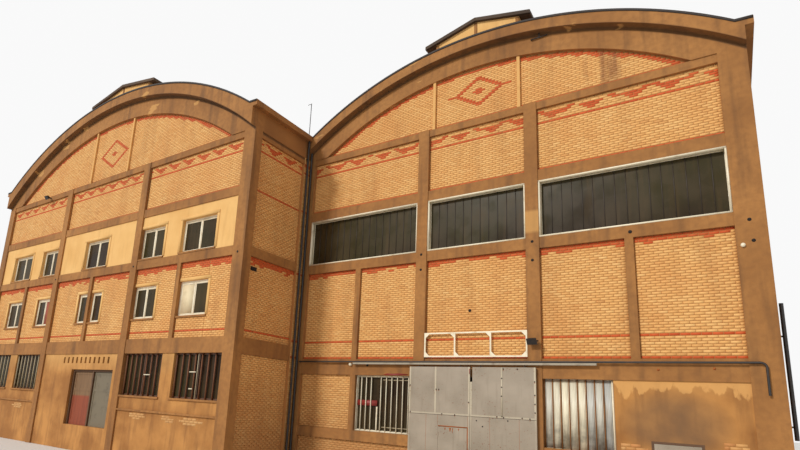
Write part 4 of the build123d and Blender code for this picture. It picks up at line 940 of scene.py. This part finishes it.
def strip_of_rings(rings):
    """Points, side quads and the two caps of a strip whose cross-sections are rings of one number of
    corners."""
    count, sides = rings.shape[:2]
    i, j = np.mgrid[0 : count - 1, 0:sides]
    here, beside = i * sides + j, i * sides + (j + 1) % sides
    quads = np.stack((here, beside, beside + sides, here + sides), -1).reshape(-1, 4)
    ring = np.arange(sides)
    caps = np.stack((ring[::-1], (count - 1) * sides + ring))
    return rings.reshape(-1, 3), [quads, caps]


def flashing(name, face, crown, half, eave, ends, proud, lift):
    """Tarred flashing on the upper edge of a roof edge: the arc z = crown - r + sqrt(r^2 - x^2), then an
    eave that falls 1 in 20 out to the tip. An end at the wall that the halls share stops on the arc.
    Proud is how far its face stands in front of the columns, and lift its height over the arc."""
    reach = half - 0.2
    rise = crown - eave
    radius = (reach**2 + rise**2) / (2 * rise)
    x = np.linspace(max(-reach, ends[0]), min(reach, ends[1]), 81)
    x = np.unique(np.concatenate((x, ends)))
    beyond = np.abs(x) - reach
    z = np.where(beyond > 0, eave - beyond / 20, crown - radius + np.sqrt(radius**2 - x**2))
    along = np.stack((x, x, x, x), 1)
    inward = np.broadcast_to((-proud, -proud, -0.2, -0.2), along.shape)
    up = z[:, None] + np.array((-0.075, lift, lift, -0.075))
    new_piece(name, *strip_of_rings(at(face, along, inward, up)), FLASHING, "roofing")


flashing("flashing_right_front", RIGHT_FRONT, 15.5, RIGHT_HALF, 13.1, (-7.14, 7.735), 0.268, 0.006)
flashing("flashing_left_front", LEFT_FRONT, 16.5, LEFT_HALF, 13.4, (-9.935, 9.935), 0.268, 0.006)
flashing("flashing_right_rear", RIGHT_REAR, 15.5, RIGHT_HALF, 13.1, (-7.735, 7.14), 0.249, 0.03)
flashing("flashing_left_rear", LEFT_REAR, 16.5, LEFT_HALF, 13.4, (-9.54, 9.935), 0.249, 0.03)

# Posts on the gables of the roof monitors: half width, foot, top at the sides and top in the middle
MONITOR_POST = 0.12
for name, face, half, foot, side_top, ridge in (
    ("right_front", RIGHT_FRONT, 1.55, 15.38, 15.9, 16.28),
    ("right_rear", RIGHT_REAR, 1.55, 15.38, 15.9, 16.28),
    ("left_front", LEFT_FRONT, 2.15, 16.33, 16.83, 17.21),
    ("left_rear", LEFT_REAR, 2.15, 16.33, 16.83, 17.21),
):
    spans = [(a, a + MONITOR_POST, 0.138, 0.152, foot, side_top) for a in (-half, half - MONITOR_POST)]
    spans.append((-MONITOR_POST / 2, MONITOR_POST / 2, 0.138, 0.152, foot, ridge))
    blocks(f"monitor_posts_{name}", face, spans, CONCRETE, "concrete", inset=0.002)


def bent_rod(name, path, radius, surface, slot):
    """A round rod along a path that lies in a plane across the halls: each point of the path carries a
    ring of eight points at the given radius, square to the path's direction there."""
    deep = np.array((0, 1, 0))
    ahead = np.gradient(path, axis=0)
    ahead /= np.linalg.norm(ahead, axis=1)[:, None]
    out = np.cross(ahead, deep)
    turn = (np.arange(8) / 8 * 2 * math.pi)[:, None]
    rings = path[:, None] + radius * (np.cos(turn) * out[:, None] + np.sin(turn) * deep)
    new_piece(name, *strip_of_rings(rings), surface, slot)


# The antenna ends in a hook, an arc of 0.1 m radius
HOOK = 0.1
rod = np.array(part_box("antenna"))
bend = np.linspace(-0.2, 2.4, 14)
hook = np.stack((np.cos(bend), np.zeros(len(bend)), np.sin(bend)), 1) * HOOK
hook += (rod[:, 0].mean() - HOOK, rod[:, 1].mean(), rod[1, 2] - HOOK - 0.012)
bent_rod("antenna_hook", hook, 0.01, STEEL, "dark_steel")

# Sliding doors: bolts with rusty runs. The leaves' sheets lie 0.11 m in front of the columns, and their
# edge strips 6 mm further out.
left_bolts = [(-1.17, 3.17), (-1.08, 3.17), (-0.96, 2.42), (-0.53, 2.41)]
left_bolts += [(-2.07, 2.43), (-2.1, 3.28), (-0.08, 2.81)]
right_bolts = [(1.0, 3.83), (1.42, 3.83), (0.8, 2.43), (1.0, 2.42), (1.54, 2.43), (1.76, 2.42)]
right_bolts += [(1.91, z) for z in (3.47, 3.09, 2.84, 2.6)]
for leaf, bolts in (("left_leaf", left_bolts), ("right_leaf", right_bolts)):
    marks = [(x, z, 0.013, rng.uniform(0.03, 0.07)) for x, z in bolts]
    runs_below(leaf + "_bolt_runs", RIGHT_FRONT, marks, (-0.1172, -0.1095), leaf)
    discs(leaf + "_bolts", RIGHT_FRONT, bolts, 0.019, (-0.122, -0.11), STEEL, "dark_steel", leaf)

# A cover strip with its bolts, the rusty seams of the sheets, the joints under the upper sheets, and a red
# mark. Seams and joints are 1.2 mm proud of their sheet or strip.
ON_SHEET = (-0.1112, -0.109)
ON_STRIP = (-0.1172, -0.1155)
cover_strip = [(0.928, 0.972, -0.116, -0.109, 2.43, 3.87)]
bolts = [(0.95, 3.55), (0.945, 3.29), (0.94, 3.03), (0.17, 2.28), (0.36, 2.12), (1.12, 2.33)]
right_seams = [(0.577, 0.583, *ON_SHEET, 1.35, 2.39), (1.447, 1.453, *ON_SHEET, 0.06, 2.39)]
left_seams = [(-1.112, -1.106, *ON_SHEET, 2.07, 2.39), (-0.118, -0.112, *ON_SHEET, 2.07, 2.39)]
left_seams.append((-1.51, -1.504, *ON_SHEET, 0.06, 2.39))
blocks("right_leaf_cover_strip", RIGHT_FRONT, cover_strip, DOOR, "grey_steel", "right_leaf")
discs("right_leaf_seam_bolts", RIGHT_FRONT, bolts, 0.02, (-0.12, -0.109), STEEL, "dark_steel", "right_leaf")
blocks("right_leaf_seams", RIGHT_FRONT, right_seams, RUST, "dark_steel", "right_leaf")
blocks("left_leaf_seams", RIGHT_FRONT, left_seams, RUST, "dark_steel", "left_leaf")
for leaf, span in (("left_leaf", (-2.13, -0.05)), ("right_leaf", (-0.03, 1.94))):
    blocks(leaf + "_joint", RIGHT_FRONT, [(*span, *ON_STRIP, 2.388, 2.396)], STEEL, "dark_steel", leaf)
red_mark = [(-0.072, -0.05, *ON_STRIP, 3.66, 3.82)]
blocks("leaf_red_mark", RIGHT_FRONT, red_mark, RED_TAPE, "red_paint", "left_leaf")

# The worn edges round the wicket, the runs on it, and the lock holes of wicket and leaf
worn = [(-1.09, -0.13, -0.1125, -0.109, 2.037, 2.065), (-0.128, -0.1, -0.1125, -0.109, 1.2, 2.065)]
blocks("wicket_rusty_edge", RIGHT_FRONT, worn, RUST, "dark_steel", "left_leaf")
marks = [(-0.85, 0.02, 0.06), (-0.68, 0.03, 0.1), (-0.6, 0.015, 0.14), (-0.4, 0.02, 0.05)]
marks = [(x, 1.99, half, length) for x, half, length in marks]
runs_below("wicket_runs", RIGHT_FRONT, marks, (-0.1112, -0.1095), "wicket")
# The lock holes are dark discs on the sheet: painted shade that stands in for their depth
discs("wicket_lock", RIGHT_FRONT, [(-0.24, 1.0)], 0.022, (-0.1135, -0.1095), HOLE, "dark_steel", "wicket")
discs("leaf_lock", RIGHT_FRONT, [(0.01, 1.02)], 0.02, (-0.1185, -0.1155), HOLE, "dark_steel", "right_leaf")


def bared(name, face, patches, tones, reds):
    """Brick that shows where the plaster has fallen, inside ragged ovals: each patch is a place and its
    two radii. A brick shows where the distance from the middle, with a little noise, is under 1."""
    spans = []
    for x, z, wide, high in patches:
        laid = courses(x - wide, x + wide, z - high, z + high)
        along, up = middles(laid)
        reach = ((along - x) / wide) ** 2 + ((up - z) / high) ** 2
        laid = laid[reach + rng.normal(0, 0.15, len(laid)) < 0.95]
        depth = np.repeat([[PLASTER_FACE - 0.003, PLASTER_FACE + 0.004]], len(laid), 0)
        spans.append(np.concatenate((laid[:, :2], depth, laid[:, 2:]), 1))
    spans = np.concatenate(spans)
    piece = blocks(name, face, spans, BRICKS, "brick", inset=0.002)
    tone_faces(piece, "tone", rng.uniform(*tones, len(spans)))
    tone_faces(piece, "red", rng.uniform(*reds, len(spans)))


damp_patches = [(4.35, 1.83, 0.32, 0.13), (6.5, 1.95, 0.25, 0.2)]
bared("bared_brick_right", RIGHT_FRONT, damp_patches, (0.1, 1.0), (0.0, 0.35))
plinth_patches = [(4.75, 1.63, 0.5, 0.12), (6.6, 1.63, 0.35, 0.12), (7.9, 1.62, 0.65, 0.13)]
plinth_patches.append((-5.0, 1.6, 0.5, 0.12))
bared("bared_brick_left", LEFT_FRONT, plinth_patches, (0.8, 1.4), (0.0, 0.05))

# The camera stands where the photograph was taken from, a little further back to take in its wide view.
# Its focal length and shifts are in pixels of a picture 800 wide.
CAMERA_AT = (13.849, -16.193, 2.5)
YAW, PITCH, ROLL = 0.629, 0.218, 0.059
PICTURE = 800
FOCAL = 541.1
SHIFT = (60, 60)
forward = np.array((-math.sin(YAW) * math.cos(PITCH), math.cos(YAW) * math.cos(PITCH), math.sin(PITCH)))
level = np.array((math.cos(YAW), math.sin(YAW), 0))
upright = np.cross(level, forward)
rightward = math.cos(ROLL) * level + math.sin(ROLL) * upright
upward = -math.sin(ROLL) * level + math.cos(ROLL) * upright
lens = bpy.data.cameras.new("camera")
lens.sensor_width = 36
lens.lens = FOCAL / PICTURE * lens.sensor_width
lens.shift_x = SHIFT[0] / PICTURE
lens.shift_y = SHIFT[1] / PICTURE
lens.clip_end = 500
camera = bpy.data.objects.new("camera", lens)
turned = Matrix([[rightward[i], upward[i], -forward[i]] for i in range(3)]).to_4x4()
camera.matrix_world = Matrix.Translation(CAMERA_AT) @ turned
bpy.context.scene.collection.objects.link(camera)
bpy.context.scene.camera = camera

# Plain pale floor, a square just below the ground line
FLOOR_HALF = 160.0
FLOOR_Z = -0.004
corners = [(x * FLOOR_HALF, y * FLOOR_HALF, FLOOR_Z) for x, y in ((-1, -1), (1, -1), (1, 1), (-1, 1))]
ground = bpy.data.meshes.new("floor")
ground.from_pydata(corners, [], [(0, 1, 2, 3)])
floor = bpy.data.objects.new("floor", ground)
bpy.context.scene.collection.objects.link(floor)
ground.materials.append(finish(material("pale_studio_floor")[0], linear("#DDDAD4"), 0.95))

# Soft light: an even sky, brighter where it is seen or mirrored than where it lights, and a wide key from
# the left of the front
world = bpy.data.worlds.new("studio")
bpy.context.scene.world = world
world.use_nodes = True
tree = world.node_tree
tree.nodes.clear()
paths = add(tree, "LightPath", {})
seen = add(tree, "Math", {0: paths["Is Camera Ray"], 1: paths["Is Glossy Ray"]}, operation="MAXIMUM")[0]
seen = add(tree, "Math", {0: seen, 1: paths["Is Transmission Ray"]}, operation="MAXIMUM")[0]
strength = add(tree, "MapRange", {0: seen, 3: 0.55, 4: 0.95})[0]
sky = add(tree, "Background", {"Color": linear("#FFFFFF"), "Strength": strength})[0]
add(tree, "OutputWorld", {"Surface": sky})
sun = bpy.data.lights.new("key", "SUN")
sun.energy = 2.1
sun.angle = math.radians(9)
key = bpy.data.objects.new("key", sun)
key.rotation_euler = (math.radians(58), 0, math.radians(-20))
bpy.context.scene.collection.objects.link(key)

bpy.context.scene.view_settings.view_transform = "Standard"
